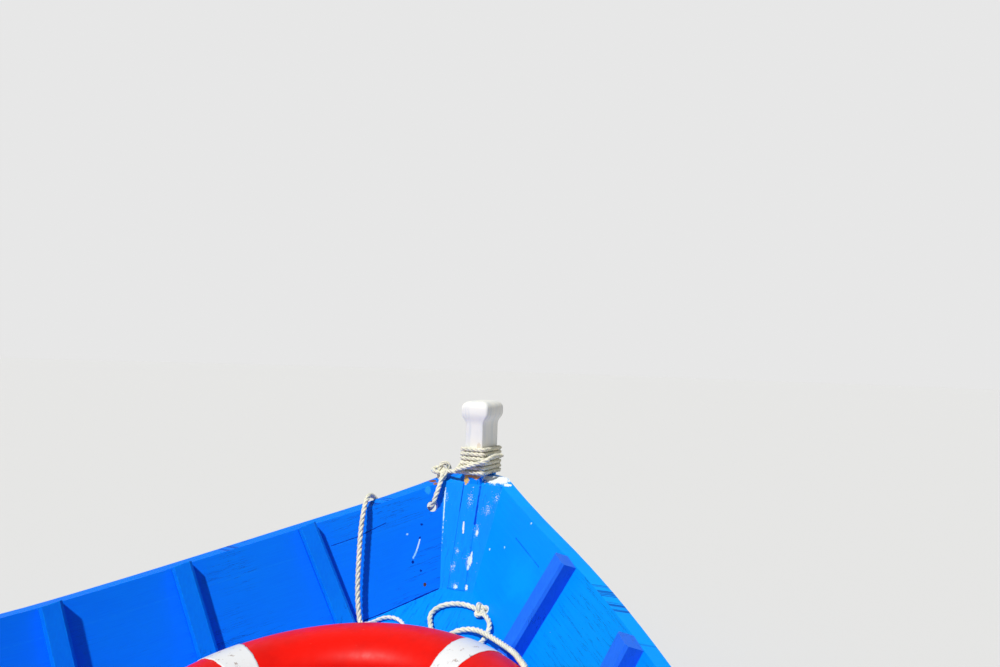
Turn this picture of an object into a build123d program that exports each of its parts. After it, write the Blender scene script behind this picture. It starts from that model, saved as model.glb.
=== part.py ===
from build123d import *
from math import asin, atan2, cos, degrees, pi, radians, sin, sqrt, tan
import os

# Open wooden flat-bottomed boat, in millimetres. X is to starboard, Y to the bow and Z up.
# The flat of the bottom lies on Z = 0, and a station is counted aft from the stem's sheer point.

# Planking and the plan of its inner face, drawn at the height of the sheer at the stem
plank = 20.0
flare = 19.5
stem_y = 2860.75
sheer_stem = 440.0
bow_half = 78.6
bow_angle = 53.0
bow_run = 245.0
bow_radius = 1702.0
shoulder_angle = 24.5
shoulder_radius = 2000.0
side_angle = 3.0
side_radius = 18000.0
hull_length = 5600.0
transom_rake = 15.0
transom_thick = 26.0

# Sheer seen from the side: a bow arc, a shorter arc down to the low point, and a long one aft
sheer_bow_angle = 25.7
sheer_bow_radius = 2412.0
sheer_turn_angle = 10.6
sheer_turn_radius = 1300.0
sheer_aft_radius = 120000.0
# Ahead of the stem's sheer point it runs on this far, and is then cut level round the post
sheer_level_run = 35.0
upper_strake = 51.0

# Bottom seen from the side: flat amidships, with a rocker arc at each end
rocker_bow_station = 823.0
rocker_bow_radius = 1617.0
rocker_stern_run = 2000.0
rocker_stern_radius = 14000.0

# Stem: the rabbeted post with a flared head, and a cheek on each side of it
post_siding = 45.0
post_depth = 100.0
post_rake = 17.9
post_front_rake = 22.0
foot_drop = 290.0
neck_height = 145.0
head_foot = 160.0
head_top = 200.0
head_width = 70.0
head_depth = 110.0
head_round = 7.0

# Frames
rib_siding = 40.0
rib_depth = 35.0
rib_chamfer = 5.0
floor_siding = 40.0
floor_depth = 30.0
limber_radius = 9.0
limber_offset = 240.0

# Each frame: station of its middle, and 1 where a floor timber crosses the bottom
frame_table = [
    (223.0, 0),
    (422.0, 1),
    (621.0, 1),
    (820.0, 1),
    (1417.0, 1),
    (2014.0, 1),
    (2611.0, 1),
    (3208.0, 1),
    (3805.0, 1),
    (4402.0, 1),
]

# Thwarts and the risers that carry them
riser_thick = 24.0
riser_high = 42.0
riser_below_sheer = 58.0
riser_fore_station = 1080.0
riser_aft_station = 4760.0
thwart_thick = 26.0
thwart_seat = 4.0
thwart_round = 5.0

# Each thwart: name, station of its middle, breadth fore and aft
thwart_table = [
    ("thwart_fore", 1300.0, 220.0),
    ("thwart_middle", 1960.0, 230.0),
    ("thwart_after", 3120.0, 230.0),
    ("thwart_stern", 4540.0, 340.0),
]

# Rowlocks
rowlock_station = 2312.0
rowlock_long = 150.0
rowlock_wide = 72.0
rowlock_high = 50.0
rowlock_bore = 14.0
rowlock_edge = 22.0

# Hole for the painter in the port bow planking
painter_bore = 26.0
painter_station = 17.0
painter_drop = 60.0

# Transom knees, rudder and tiller
knee_arm = 170.0
knee_thick = 28.0
rudder_thick = 28.0
eye_clearance = 8.0
blade_long = 260.0
blade_foot = 40.0
stock_long = 120.0
stock_above = 120.0
pintle_diameter = 14.0
pintle_play = 0.15
gudgeon_high = 30.0
gudgeon_wall = 9.0
strap_wall = 4.0
strap_high = 18.0
strap_start = 8.0
strap_long = 76.0
gudgeon_low_height = 195.0
gudgeon_top_height = 285.0
tiller_long = 620.0
tiller_deep = 38.0
tiller_wide = 32.0

# Lifebuoy
ring_outer = 375.0
ring_section_wide = 150.0
ring_section_high = 104.0
ring_station = 668.0
ring_x = 54.0
ring_fore_frame = 2
ring_aft_frame = 4
tape_wide = 50.0
tape_thick = 1.5
tape_turn = 68.0

# Ropes: the mooring line, its winding round the stem's neck, and the lifebuoy's grab line
rope_diameter = 12.0
turns_count = 5
turns_foot = 464.0
knot_radius = 14.0
grab_diameter = 9.0
arc_share = 0.45

# Running gap between pieces that only lie against each other
fit = 0.2

# How far the cutting forms run past the sheer, the stem, the transom and the bottom
form_rise = 70.0
form_ahead = 160.0
form_behind = 150.0
form_under = 60.0
wide = 2600.0
form_long = 6800.0
form_high = 1400.0
form_middle = 300.0
plan_plank = plank / cos(radians(flare))
stern_y = stem_y - hull_length
rocker_stern_station = hull_length - rocker_stern_run
sheer_join_station = sheer_bow_radius * (
    sin(radians(sheer_bow_angle)) - sin(radians(sheer_turn_angle))
)
sheer_join_height = sheer_stem - sheer_bow_radius * (
    cos(radians(sheer_turn_angle)) - cos(radians(sheer_bow_angle))
)
sheer_low_station = sheer_join_station + sheer_turn_radius * sin(radians(sheer_turn_angle))
sheer_low_height = sheer_join_height - sheer_turn_radius * (1 - cos(radians(sheer_turn_angle)))


def plan_point(station):
    """Half breadth of the inner plan at a station, and its heading off the centreline."""
    turn = radians(bow_angle)
    start = bow_run * cos(turn)
    if station <= start:
        return bow_half + station * tan(turn), turn
    half = bow_half + bow_run * sin(turn)
    for radius, next_angle in (
        (bow_radius, shoulder_angle),
        (shoulder_radius, side_angle),
        (side_radius, -90.0),
    ):
        next_turn = radians(next_angle)
        length = radius * (sin(turn) - sin(next_turn))
        if station <= start + length:
            heading = asin(sin(turn) - (station - start) / radius)
            return half + radius * (cos(heading) - cos(turn)), heading
        start += length
        half += radius * (cos(next_turn) - cos(turn))
        turn = next_turn


def side_point(station, height):
    """Half breadth and heading of the inner planking at a station and a height."""
    lean = tan(radians(flare)) * (sheer_stem - height)
    reference = station
    for _ in range(20):
        reference = station - sin(plan_point(reference)[1]) * lean
    half, heading = plan_point(reference)
    return half - cos(heading) * lean, heading


def sheer_height(station):
    """Height of the sheer above the flat of the bottom."""
    if station <= sheer_join_station:
        slope = asin(sin(radians(sheer_bow_angle)) - station / sheer_bow_radius)
        return sheer_stem - sheer_bow_radius * (cos(slope) - cos(radians(sheer_bow_angle)))
    if station <= sheer_low_station:
        slope = asin((sheer_low_station - station) / sheer_turn_radius)
        return sheer_low_height + sheer_turn_radius * (1 - cos(slope))
    slope = asin((station - sheer_low_station) / sheer_aft_radius)
    return sheer_low_height + sheer_aft_radius * (1 - cos(slope))


def bottom_height(station):
    """Height of the inner face of the bottom planking."""
    if station < rocker_bow_station:
        radius = rocker_bow_radius - plank
        return plank + radius - sqrt(radius**2 - (rocker_bow_station - station) ** 2)
    if station > rocker_stern_station:
        radius = rocker_stern_radius - plank
        return plank + radius - sqrt(radius**2 - (station - rocker_stern_station) ** 2)
    return plank


def hull_form(out):
    """Solid within the sides, its plan set out from the inner face by a plan distance."""
    turn = radians(bow_angle)
    top_out = out + form_rise * tan(radians(flare))
    apex_y = stem_y + (bow_half + top_out / cos(turn)) / tan(turn)
    knuckle_x = bow_half + bow_run * sin(turn) + top_out * cos(turn)
    knuckle_y = stem_y - bow_run * cos(turn) + top_out * sin(turn)
    stern_turn = degrees(plan_point(hull_length + form_behind)[1])
    with BuildPart() as form:
        with BuildSketch(Plane.XY.offset(sheer_stem + form_rise)):
            with BuildLine():
                run = Line((0, apex_y), (knuckle_x, knuckle_y))
                bow_turn = shoulder_angle - bow_angle
                bow = JernArc(run @ 1, run % 1, bow_radius + top_out, bow_turn)
                shoulder_turn = side_angle - shoulder_angle
                shoulder = JernArc(bow @ 1, bow % 1, shoulder_radius + top_out, shoulder_turn)
                side_turn = stern_turn - side_angle
                side = JernArc(shoulder @ 1, shoulder % 1, side_radius + top_out, side_turn)
                Line(side @ 1, (0, (side @ 1).Y))
                mirror(about=Plane.YZ)
            make_face()
        extrude(amount=-sheer_stem - form_rise, taper=flare)
    return form.part


def under_sheer(below):
    """Solid under the sheer, or under a line that runs square below it."""
    rise = sin(radians(sheer_bow_angle)) + sheer_level_run / sheer_bow_radius
    fore_angle = degrees(asin(rise))
    aft_angle = degrees(asin((hull_length + form_behind - sheer_low_station) / sheer_aft_radius))
    low = (stem_y - sheer_low_station, sheer_low_height - below)
    with BuildPart() as region:
        with BuildSketch(Plane.YZ):
            with BuildLine():
                turn = JernArc(low, (1, 0), sheer_turn_radius + below, sheer_turn_angle)
                bow_turn = fore_angle - sheer_turn_angle
                bow = JernArc(turn @ 1, turn % 1, sheer_bow_radius + below, bow_turn)
                aft = JernArc(low, (-1, 0), sheer_aft_radius + below, -aft_angle)
                level = Line(bow @ 1, ((bow @ 1).X + form_ahead, (bow @ 1).Y))
                fore_foot = Line(level @ 1, ((level @ 1).X, -form_under))
                aft_foot = Line(aft @ 1, ((aft @ 1).X, -form_under))
                Line(fore_foot @ 1, aft_foot @ 1)
            make_face()
        extrude(amount=wide / 2, both=True)
    return region.part


def under_bottom(up):
    """Solid under the bottom planking's outer face, or under a line square above it."""
    bow_turn = degrees(asin((rocker_bow_station + form_ahead) / rocker_bow_radius))
    stern_turn = degrees(
        asin((hull_length + form_behind - rocker_stern_station) / rocker_stern_radius)
    )
    fore = (stem_y - rocker_bow_station, up)
    aft = (stem_y - rocker_stern_station, up)
    with BuildPart() as region:
        with BuildSketch(Plane.YZ):
            with BuildLine():
                Line(fore, aft)
                bow = JernArc(fore, (1, 0), rocker_bow_radius - up, bow_turn)
                stern = JernArc(aft, (-1, 0), rocker_stern_radius - up, -stern_turn)
                bow_foot = Line(bow @ 1, ((bow @ 1).X, -form_under))
                stern_foot = Line(stern @ 1, ((stern @ 1).X, -form_under))
                Line(bow_foot @ 1, stern_foot @ 1)
            make_face()
        extrude(amount=wide / 2, both=True)
    return region.part


def ahead_of_transom(thickness):
    """Solid ahead of the transom's outer face, or of a plane that far inside it."""
    slope = tan(radians(transom_rake))
    foot_y = stern_y + sheer_stem * slope + thickness / cos(radians(transom_rake))
    top = sheer_stem + form_rise
    fore_y = stem_y + 2 * form_ahead
    with BuildPart() as region:
        with BuildSketch(Plane.YZ):
            with BuildLine():
                Polyline(
                    (foot_y + form_under * slope, -form_under),
                    (foot_y - top * slope, top),
                    (fore_y, top),
                    (fore_y, -form_under),
                    close=True,
                )
            make_face()
        extrude(amount=wide / 2, both=True)
    return region.part


def finish(builder, label, color):
    builder.part.label = label
    builder.part.color = Color(color)
    export_step(builder.part, f"parts/{label}.step")


os.makedirs("parts", exist_ok=True)

# Solids that the wooden pieces are cut from
outer_form = hull_form(plan_plank)
inner_form = hull_form(0.0)
seat_form = hull_form(-fit)
rib_form = hull_form(-(rib_depth + fit) / cos(radians(flare)))
riser_form = hull_form(-(rib_depth + riser_thick + fit) / cos(radians(flare)))
sheer_cut = under_sheer(0.0)
seam_cut = under_sheer(upper_strake)
floor_cut = under_bottom(plank)
keel_cut = under_bottom(0.0)
transom_outer = ahead_of_transom(0.0)
transom_inner = ahead_of_transom(transom_thick)

painter_plane = Plane(
    origin=(-plan_point(painter_station)[0], stem_y - painter_station, sheer_stem),
    x_dir=(-sin(radians(bow_angle)), -cos(radians(bow_angle)), 0),
    z_dir=(
        -cos(radians(bow_angle)) * cos(radians(flare)),
        sin(radians(bow_angle)) * cos(radians(flare)),
        -sin(radians(flare)),
    ),
)


def side_planking(label, side, top, low):
    """One strake: the shell between the two forms, cut at its top and its lower edge."""
    with BuildPart() as strake:
        add(outer_form)
        add(inner_form, mode=Mode.SUBTRACT)
        add(top, mode=Mode.INTERSECT)
        add(low, mode=Mode.SUBTRACT)
        add(transom_outer, mode=Mode.INTERSECT)
        with Locations((side * (wide / 4 + post_siding / 2 + fit / 2), 0, form_middle)):
            Box(wide / 2, form_long, form_high, mode=Mode.INTERSECT)
        if side < 0:
            with BuildSketch(painter_plane):
                with Locations((0, -painter_drop)):
                    Circle(painter_bore / 2)
            extrude(amount=4 * plank, both=True, mode=Mode.SUBTRACT)
    finish(strake, label, "steelblue")


for side, hand in ((-1, "port"), (1, "starboard")):
    side_planking(f"strake_upper_{hand}", side, sheer_cut, seam_cut)
    side_planking(f"strake_lower_{hand}", side, seam_cut, floor_cut)

# Bottom planking, out to the outer face of the sides
with BuildPart() as bottom_planking:
    add(outer_form)
    add(floor_cut, mode=Mode.INTERSECT)
    add(keel_cut, mode=Mode.SUBTRACT)
    add(transom_outer, mode=Mode.INTERSECT)
finish(bottom_planking, "bottom_planking", "lightsteelblue")

# Transom, let in between the side strakes
with BuildPart() as transom:
    add(inner_form)
    add(sheer_cut, mode=Mode.INTERSECT)
    add(floor_cut, mode=Mode.SUBTRACT)
    add(transom_outer, mode=Mode.INTERSECT)
    add(transom_inner, mode=Mode.SUBTRACT)
finish(transom, "transom", "steelblue")

# Stem post: upright above the sheer, raked below it, with a flared and rounded head
with BuildPart() as stem_post:
    with BuildSketch(Plane.YZ):
        with BuildLine():
            Polyline(
                (stem_y, sheer_stem + neck_height),
                (stem_y, sheer_stem),
                (stem_y - foot_drop * tan(radians(post_rake)), sheer_stem - foot_drop),
                (
                    stem_y + post_depth + 9 - foot_drop * tan(radians(post_front_rake)),
                    sheer_stem - foot_drop,
                ),
                (stem_y + post_depth, sheer_stem + 20),
                (stem_y + post_depth, sheer_stem + neck_height),
                close=True,
            )
        make_face()
    extrude(amount=post_siding / 2, both=True)
    add(floor_cut, mode=Mode.SUBTRACT)
    with BuildSketch(Plane.XY.offset(sheer_stem + neck_height)):
        with Locations((0, stem_y + post_depth / 2)):
            Rectangle(post_siding, post_depth)
    with BuildSketch(Plane.XY.offset(sheer_stem + head_foot)):
        with Locations((0, stem_y + post_depth / 2)):
            Rectangle(head_width, head_depth)
    loft()
    with BuildSketch(Plane.XY.offset(sheer_stem + head_foot)):
        with Locations((0, stem_y + post_depth / 2)):
            Rectangle(head_width, head_depth)
    extrude(amount=head_top - head_foot)
    fillet(stem_post.edges().group_by(Axis.Z)[-1], head_round)
finish(stem_post, "stem_post", "ivory")

# Cheeks fill the corners between the post and the side planking
for side, hand in ((-1, "port"), (1, "starboard")):
    with BuildPart() as cheek:
        with BuildSketch(Plane.YZ):
            with BuildLine():
                Polyline(
                    (stem_y, sheer_stem + 80),
                    (stem_y, sheer_stem),
                    (stem_y - foot_drop * tan(radians(post_rake)), sheer_stem - foot_drop),
                    (stem_y + 300, sheer_stem - foot_drop),
                    (stem_y + 300, sheer_stem + 80),
                    close=True,
                )
            make_face()
        extrude(amount=side * wide / 4)
        add(inner_form, mode=Mode.INTERSECT)
        add(sheer_cut, mode=Mode.INTERSECT)
        add(floor_cut, mode=Mode.SUBTRACT)
        with Locations((side * (wide / 4 + post_siding / 2 + fit / 2), stem_y, sheer_stem)):
            Box(wide / 2, form_high, form_high, mode=Mode.INTERSECT)
    finish(cheek, f"stem_cheek_{hand}", "royalblue")


def rib_plane(station, side):
    """Plane across a rib at the sheer: its normal runs up the rib and its Y outboard."""
    top = sheer_height(station)
    half, heading = side_point(station, top)
    slope = radians(flare)
    outboard = Vector(side * cos(heading) * cos(slope), sin(heading) * cos(slope), -sin(slope))
    up = Vector(side * tan(slope) / cos(heading), 0, 1)
    return Plane(origin=(side * half, stem_y - station, top), x_dir=outboard.cross(up), z_dir=up)


# Ribs stand square to the planking in athwartship planes, with their inboard corners chamfered
for number, (station, crosses) in enumerate(frame_table, start=1):
    ribs = []
    for side, hand in ((-1, "port"), (1, "starboard")):
        plane = rib_plane(station, side)
        with BuildPart() as rib:
            with BuildSketch(plane):
                with Locations((0, 1 - rib_depth / 2)):
                    Rectangle(rib_siding, rib_depth + 2)
            extrude(amount=-sheer_stem * 1.2)
            upright = rib.edges().filter_by(Axis(plane.origin, plane.z_dir))
            upright = upright.sort_by(lambda e: plane.to_local_coords(e.center()).Y)
            chamfer(upright[:2], rib_chamfer)
            add(seat_form, mode=Mode.INTERSECT)
            add(floor_cut, mode=Mode.SUBTRACT)
        ribs.append(rib.part)
        finish(rib, f"rib_{number:02d}_{hand}", "dodgerblue")
    if crosses:
        seat = bottom_height(station)
        with BuildPart() as floor_timber:
            with BuildSketch(Plane.YZ):
                with Locations((stem_y - station, seat + floor_depth / 2 - 10)):
                    Rectangle(floor_siding, floor_depth + 20)
            extrude(amount=wide / 2, both=True)
            add(rib_form, mode=Mode.INTERSECT)
            add(floor_cut, mode=Mode.SUBTRACT)
            for rib_part in ribs:
                add(rib_part, mode=Mode.SUBTRACT)
            with BuildSketch(Plane.XZ.offset(station - stem_y)):
                with Locations((limber_offset, seat), (-limber_offset, seat)):
                    Circle(limber_radius)
            extrude(amount=floor_siding, both=True, mode=Mode.SUBTRACT)
        finish(floor_timber, f"floor_timber_{number:02d}", "cornflowerblue")

# Thwarts lie level, housed a little into the risers
thwarts = []
for name, station, breadth in thwart_table:
    seat = sheer_height(station) - riser_below_sheer - thwart_seat
    with BuildPart() as thwart:
        with BuildSketch(Plane.XY.offset(seat)):
            with Locations((0, stem_y - station)):
                Rectangle(wide, breadth)
        extrude(amount=thwart_thick)
        add(rib_form, mode=Mode.INTERSECT)
        fillet(thwart.edges().filter_by(Axis.X), thwart_round)
    thwarts.append(thwart.part)
    finish(thwart, name, "tan")

for side, hand in ((-1, "port"), (1, "starboard")):
    with BuildPart() as riser:
        add(rib_form)
        add(riser_form, mode=Mode.SUBTRACT)
        add(under_sheer(riser_below_sheer), mode=Mode.INTERSECT)
        add(under_sheer(riser_below_sheer + riser_high), mode=Mode.SUBTRACT)
        length = riser_aft_station - riser_fore_station
        middle = stem_y - (riser_aft_station + riser_fore_station) / 2
        with Locations((side * wide / 4, middle, form_middle)):
            Box(wide / 2, length, form_high, mode=Mode.INTERSECT)
        for piece in thwarts:
            add(piece, mode=Mode.SUBTRACT)
    finish(riser, f"riser_{hand}", "steelblue")

# Rowlock blocks on the inside of the upper strakes, each with an upright bore
for side, hand in ((-1, "port"), (1, "starboard")):
    block_top = sheer_height(rowlock_station)
    inner_x = side_point(rowlock_station, block_top)[0] - rowlock_wide
    with BuildPart() as rowlock:
        with BuildSketch(Plane.XY.offset(block_top - rowlock_high)):
            with Locations((side * (inner_x + rowlock_wide), stem_y - rowlock_station)):
                Rectangle(2 * rowlock_wide, rowlock_long)
        extrude(amount=2 * rowlock_high)
        add(seat_form, mode=Mode.INTERSECT)
        add(sheer_cut, mode=Mode.INTERSECT)
        with BuildSketch(Plane.XY.offset(block_top)):
            with Locations((side * (inner_x + rowlock_edge), stem_y - rowlock_station)):
                Circle(rowlock_bore / 2)
        extrude(amount=2 * rowlock_high, both=True, mode=Mode.SUBTRACT)
    finish(rowlock, f"rowlock_block_{hand}", "tan")

# Knees in the corners of the transom, each with a hollowed inner edge
knee_top = sheer_height(hull_length) - 6.0
knee_back = stern_y + (sheer_stem - knee_top) * tan(radians(transom_rake))
knee_back += transom_thick / cos(radians(transom_rake))
knee_half = side_point(stem_y - knee_back, knee_top)[0]
for side, hand in ((-1, "port"), (1, "starboard")):
    fore = (side * knee_half, knee_back + knee_arm)
    inner = (side * (knee_half - knee_arm), knee_back)
    hollow = (side * (knee_half - knee_arm * 0.36), knee_back + knee_arm * 0.36)
    with BuildPart() as knee:
        with BuildSketch(Plane.XY.offset(knee_top)):
            with BuildLine():
                ThreePointArc(inner, hollow, fore)
                Line(fore, (side * (knee_half + 60), fore[1]))
                Line((side * (knee_half + 60), fore[1]), (side * (knee_half + 60), inner[1] - 60))
                Line((side * (knee_half + 60), inner[1] - 60), (inner[0], inner[1] - 60))
                Line((inner[0], inner[1] - 60), inner)
            make_face()
        extrude(amount=-knee_thick)
        add(seat_form, mode=Mode.INTERSECT)
        add(ahead_of_transom(transom_thick + fit), mode=Mode.INTERSECT)
    finish(knee, f"transom_knee_{hand}", "steelblue")

# Rudder: its own plane lies along the keel line, X aft from the transom and Y up its slope
rudder_plane = Plane(
    origin=(0, stern_y + sheer_stem * tan(radians(transom_rake)), 0),
    x_dir=(0, -cos(radians(transom_rake)), -sin(radians(transom_rake))),
    z_dir=(-1, 0, 0),
)
eye_radius = pintle_diameter / 2 + gudgeon_wall
axis_back = eye_radius + eye_clearance
blade_fore = axis_back + eye_radius + 6.0
stock_aft = blade_fore + stock_long
head_high = sheer_height(hull_length) / cos(radians(transom_rake)) + stock_above
tiller_high = head_high - 55.0
with BuildPart() as rudder:
    with BuildSketch(rudder_plane):
        with BuildLine():
            Polyline(
                (blade_fore, blade_foot + 20),
                (blade_fore + blade_long, blade_foot + 62),
                (blade_fore + blade_long, blade_foot + 170),
                (stock_aft, blade_foot + 300),
                (stock_aft, head_high),
                (blade_fore, head_high),
                close=True,
            )
        make_face()
    extrude(amount=rudder_thick / 2, both=True)
    outline = rudder.edges().filter_by(Axis.X)
    fillet(outline.sort_by(Axis.Y)[:2], 70.0)
    fillet(rudder.edges().filter_by(Axis.X).sort_by(Axis.Z)[-2:], 22.0)
    with BuildSketch(rudder_plane):
        with Locations((blade_fore + stock_long / 2, tiller_high)):
            Rectangle(2 * stock_long, tiller_deep + 2 * fit)
    extrude(amount=tiller_wide / 2 - 8 + fit, both=True, mode=Mode.SUBTRACT)
finish(rudder, "rudder", "ivory")

# Tiller: its tongue fills the slot in the rudder's head, and it tapers to the grip
with BuildPart() as tiller:
    with BuildSketch(rudder_plane):
        with Locations((blade_fore + stock_long / 2, tiller_high)):
            Rectangle(stock_long + 40, tiller_deep)
    extrude(amount=tiller_wide / 2 - 8, both=True)
    grip_plane = Plane(
        origin=rudder_plane.from_local_coords((blade_fore - 20, tiller_high, 0)),
        z_dir=(0, 1, 0.05),
    )
    with BuildSketch(grip_plane):
        RectangleRounded(tiller_wide - 16, tiller_deep, 6)
    with BuildSketch(grip_plane.offset(tiller_long)):
        RectangleRounded(24, 28, 10)
    loft()
finish(tiller, "tiller", "tan")

# Gudgeons on the transom and pintles on the rudder, in pairs
for level, height in (("lower", gudgeon_low_height), ("upper", gudgeon_top_height)):
    eye_plane = Plane(
        origin=rudder_plane.from_local_coords((axis_back, height, 0)),
        x_dir=(1, 0, 0),
        z_dir=rudder_plane.y_dir,
    )
    back = Plane(
        origin=rudder_plane.from_local_coords((fit, height, 0)),
        x_dir=(1, 0, 0),
        z_dir=rudder_plane.x_dir,
    )
    with BuildPart() as gudgeon:
        with BuildSketch(back):
            with Locations((0, 0)):
                RectangleRounded(90, gudgeon_high, 8)
        extrude(amount=5)
        with BuildSketch(eye_plane.offset(-gudgeon_high / 2)):
            Circle(eye_radius)
            with Locations((0, (axis_back - 3) / 2)):
                Rectangle(2 * eye_radius, axis_back - 3)
        extrude(amount=gudgeon_high)
        with BuildSketch(eye_plane.offset(-gudgeon_high)):
            Circle(pintle_diameter / 2 + pintle_play)
        extrude(amount=2 * gudgeon_high, mode=Mode.SUBTRACT)
    finish(gudgeon, f"gudgeon_{level}", "silver")
    with BuildPart() as pintle:
        with BuildSketch(eye_plane.offset(gudgeon_high / 2 + fit)):
            Circle(eye_radius)
            with Locations((0, -strap_start - strap_long / 2)):
                Rectangle(rudder_thick + 2 * (fit + strap_wall), strap_long)
            with Locations((0, -(blade_fore - axis_back - fit) - strap_long / 2)):
                Rectangle(rudder_thick + 2 * fit, strap_long, mode=Mode.SUBTRACT)
        extrude(amount=strap_high)
        with BuildSketch(eye_plane.offset(gudgeon_high / 2 + fit)):
            Circle(pintle_diameter / 2)
        extrude(amount=-gudgeon_high - 8)
    finish(pintle, f"pintle_{level}", "silver")

# Lifebuoy lying in the bow, across the aft edges of two floor timbers, with four tape bands
ring_rests = []
for number in (ring_fore_frame, ring_aft_frame):
    station = frame_table[number - 1][0]
    ring_rests.append((station + floor_siding / 2, bottom_height(station) + floor_depth))
ring_fall = (ring_rests[0][1] - ring_rests[1][1]) / (ring_rests[1][0] - ring_rests[0][0])
ring_tilt = atan2(ring_fall, 1)
ring_height = ring_rests[0][1] - ring_fall * (ring_station - ring_rests[0][0])
ring_height += (ring_section_high / 2 + tape_thick + fit) / cos(ring_tilt)
ring_plane = Plane(
    origin=(ring_x, stem_y - ring_station, ring_height),
    x_dir=(1, 0, 0),
    z_dir=(0, -sin(ring_tilt), cos(ring_tilt)),
)
ring_axis = Axis(ring_plane.origin, ring_plane.z_dir)


def ring_section(angle):
    """Plane through the ring's axis, its X pointing out at an angle from starboard."""
    out = ring_plane.x_dir * cos(radians(angle)) + ring_plane.y_dir * sin(radians(angle))
    return Plane(origin=ring_plane.origin, x_dir=out, z_dir=out.cross(ring_plane.z_dir))


ring_middle = ring_outer - ring_section_wide / 2
tape_arc = degrees(tape_wide / ring_middle)
with BuildPart() as lifebuoy:
    for quarter in range(4):
        tape_start = tape_turn + 90 * quarter - tape_arc / 2
        with BuildSketch(ring_section(tape_start)):
            with Locations((ring_middle, 0)):
                Ellipse(ring_section_wide / 2 + tape_thick, ring_section_high / 2 + tape_thick)
        revolve(axis=ring_axis, revolution_arc=tape_arc)
        with BuildSketch(ring_section(tape_start + tape_arc)):
            with Locations((ring_middle, 0)):
                Ellipse(ring_section_wide / 2, ring_section_high / 2)
        revolve(axis=ring_axis, revolution_arc=90 - tape_arc)
finish(lifebuoy, "lifebuoy", "firebrick")

# Mooring line, in places of the whole boat. It leaves the knot on the port sheer, goes down inside
# and out through the hole, aft and in over the sheer, and down to a loop on the floor of the bow.
# Its last stretch goes over the loop and along the lifebuoy.
knot_place = (-87.2, 2873.8, 463.0)
painter_route = [
    knot_place,
    (-76, 2853, 459),
    (-78, 2839, 431),
    (-81, 2827, 409),
    (-86, 2823, 386),
    (-106, 2847, 372),
    (-125, 2850, 363),
    (-156, 2825, 356),
    (-184, 2801, 361),
    (-208, 2786, 380),
    (-222, 2770, 407),
    (-216, 2736, 411),
    (-208, 2708, 384),
    (-202, 2688, 338),
    (-193, 2671, 284),
    (-185, 2656, 236),
    (-174, 2643, 186),
    (-160, 2634, 146),
    (-122, 2606, 133),
    (-66, 2595, 129),
    (-4, 2600, 131),
    (18, 2636, 144),
    (-4, 2668, 157),
    (-26, 2702, 173),
    (-10, 2732, 187),
    (32, 2744, 193),
    (74, 2736, 190),
    (106, 2716, 184),
    (127, 2690, 175),
    (126, 2656, 152),
    (100, 2624, 138),
    (62, 2618, 136),
    (38, 2644, 147),
    (56, 2674, 160),
    (100, 2672, 170),
    (146, 2640, 172),
    (196, 2594, 177),
    (236, 2542, 188),
    (266, 2486, 200),
    (299, 2428, 212),
    (326, 2362, 208),
    (343, 2298, 200),
    (351, 2238, 192),
    (352, 2186, 185.5),
]

# Short lead from the winding round the stem's neck to the knot
lead_route = [
    (-24, 2855, 470),
    (-50, 2856, 468),
    (-70, 2864, 464),
    knot_place,
]


def rope_tube(label, route, diameter):
    """Tube of straight runs joined by arcs, each arc as large as its two runs allow."""
    arc_radii = []
    for before, corner, after in zip(route, route[1:], route[2:]):
        first = Vector(corner) - Vector(before)
        second = Vector(after) - Vector(corner)
        half_turn = radians(first.get_angle(second) / 2)
        arc_radii.append(arc_share * min(first.length, second.length) / tan(half_turn))
    with BuildPart() as tube:
        with BuildLine():
            path = FilletPolyline(*route, radius=arc_radii)
        with BuildSketch(Plane(origin=path @ 0, z_dir=path % 0)):
            Circle(diameter / 2)
        sweep(path=path)
    filled = tube.part.volume / (pi * diameter**2 / 4 * path.length)
    print(label, "length", round(path.length), "volume ratio", round(filled, 4))
    print(label, "radii", [round(radius) for radius in arc_radii])
    return tube.part


with BuildPart() as painter:
    add(rope_tube("painter", painter_route, rope_diameter))
finish(painter, "painter", "wheat")

with BuildPart() as strop_lead:
    add(rope_tube("strop_lead", lead_route, rope_diameter))
finish(strop_lead, "strop_lead", "wheat")

# The winding is one solid of its outer shape, just clear of the neck
with BuildPart() as strop_turns:
    with BuildSketch(Plane.XY.offset(turns_foot)):
        with Locations((0, stem_y + post_depth / 2)):
            RectangleRounded(
                post_siding + 2 * (fit + rope_diameter),
                post_depth + 2 * (fit + rope_diameter),
                rope_diameter,
            )
            Rectangle(post_siding + 2 * fit, post_depth + 2 * fit, mode=Mode.SUBTRACT)
    extrude(amount=turns_count * rope_diameter)
finish(strop_turns, "strop_turns", "wheat")

with BuildPart() as bow_knot:
    with Locations(knot_place):
        Sphere(knot_radius)
finish(bow_knot, "bow_knot", "wheat")

# Grab line: four spans between the tapes, outside the ring. Each point is its turn past the first
# tape of its span, its distance outside the ring's edge and its height over the ring's middle plane.
grab_seat = tape_thick + grab_diameter / 2 + 6 * fit
slack_span = [
    (0, grab_seat, 0),
    (13, 16, -5),
    (30, 24, -16),
    (45, 28, -21),
    (60, 24, -16),
    (77, 16, -5),
    (90, grab_seat, 0),
]
starboard_bow_span = [
    (0, grab_seat, 0),
    (13, 13, -3),
    (30, 16, -6),
    (45, 17, -7),
    (60, 16, -6),
    (77, 13, -3),
    (90, grab_seat, 0),
]
# The span that is pulled out into a bight on the floor of the bow
port_bow_span = [
    (0, grab_seat, 0),
    (12, 15, -4),
    (22, 19, -6),
    (31, 28, -9),
    (38.5, 55, -14),
    (42.5, 95, -24),
    (44.8, 125, -34.5),
    (47.6, 139, -28.5),
    (50.6, 135, -27.5),
    (53, 117.5, -30),
    (54.5, 85, -27),
    (59, 42, -20),
    (67, 20, -12),
    (78, 14, -5),
    (90, grab_seat, 0),
]


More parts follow.
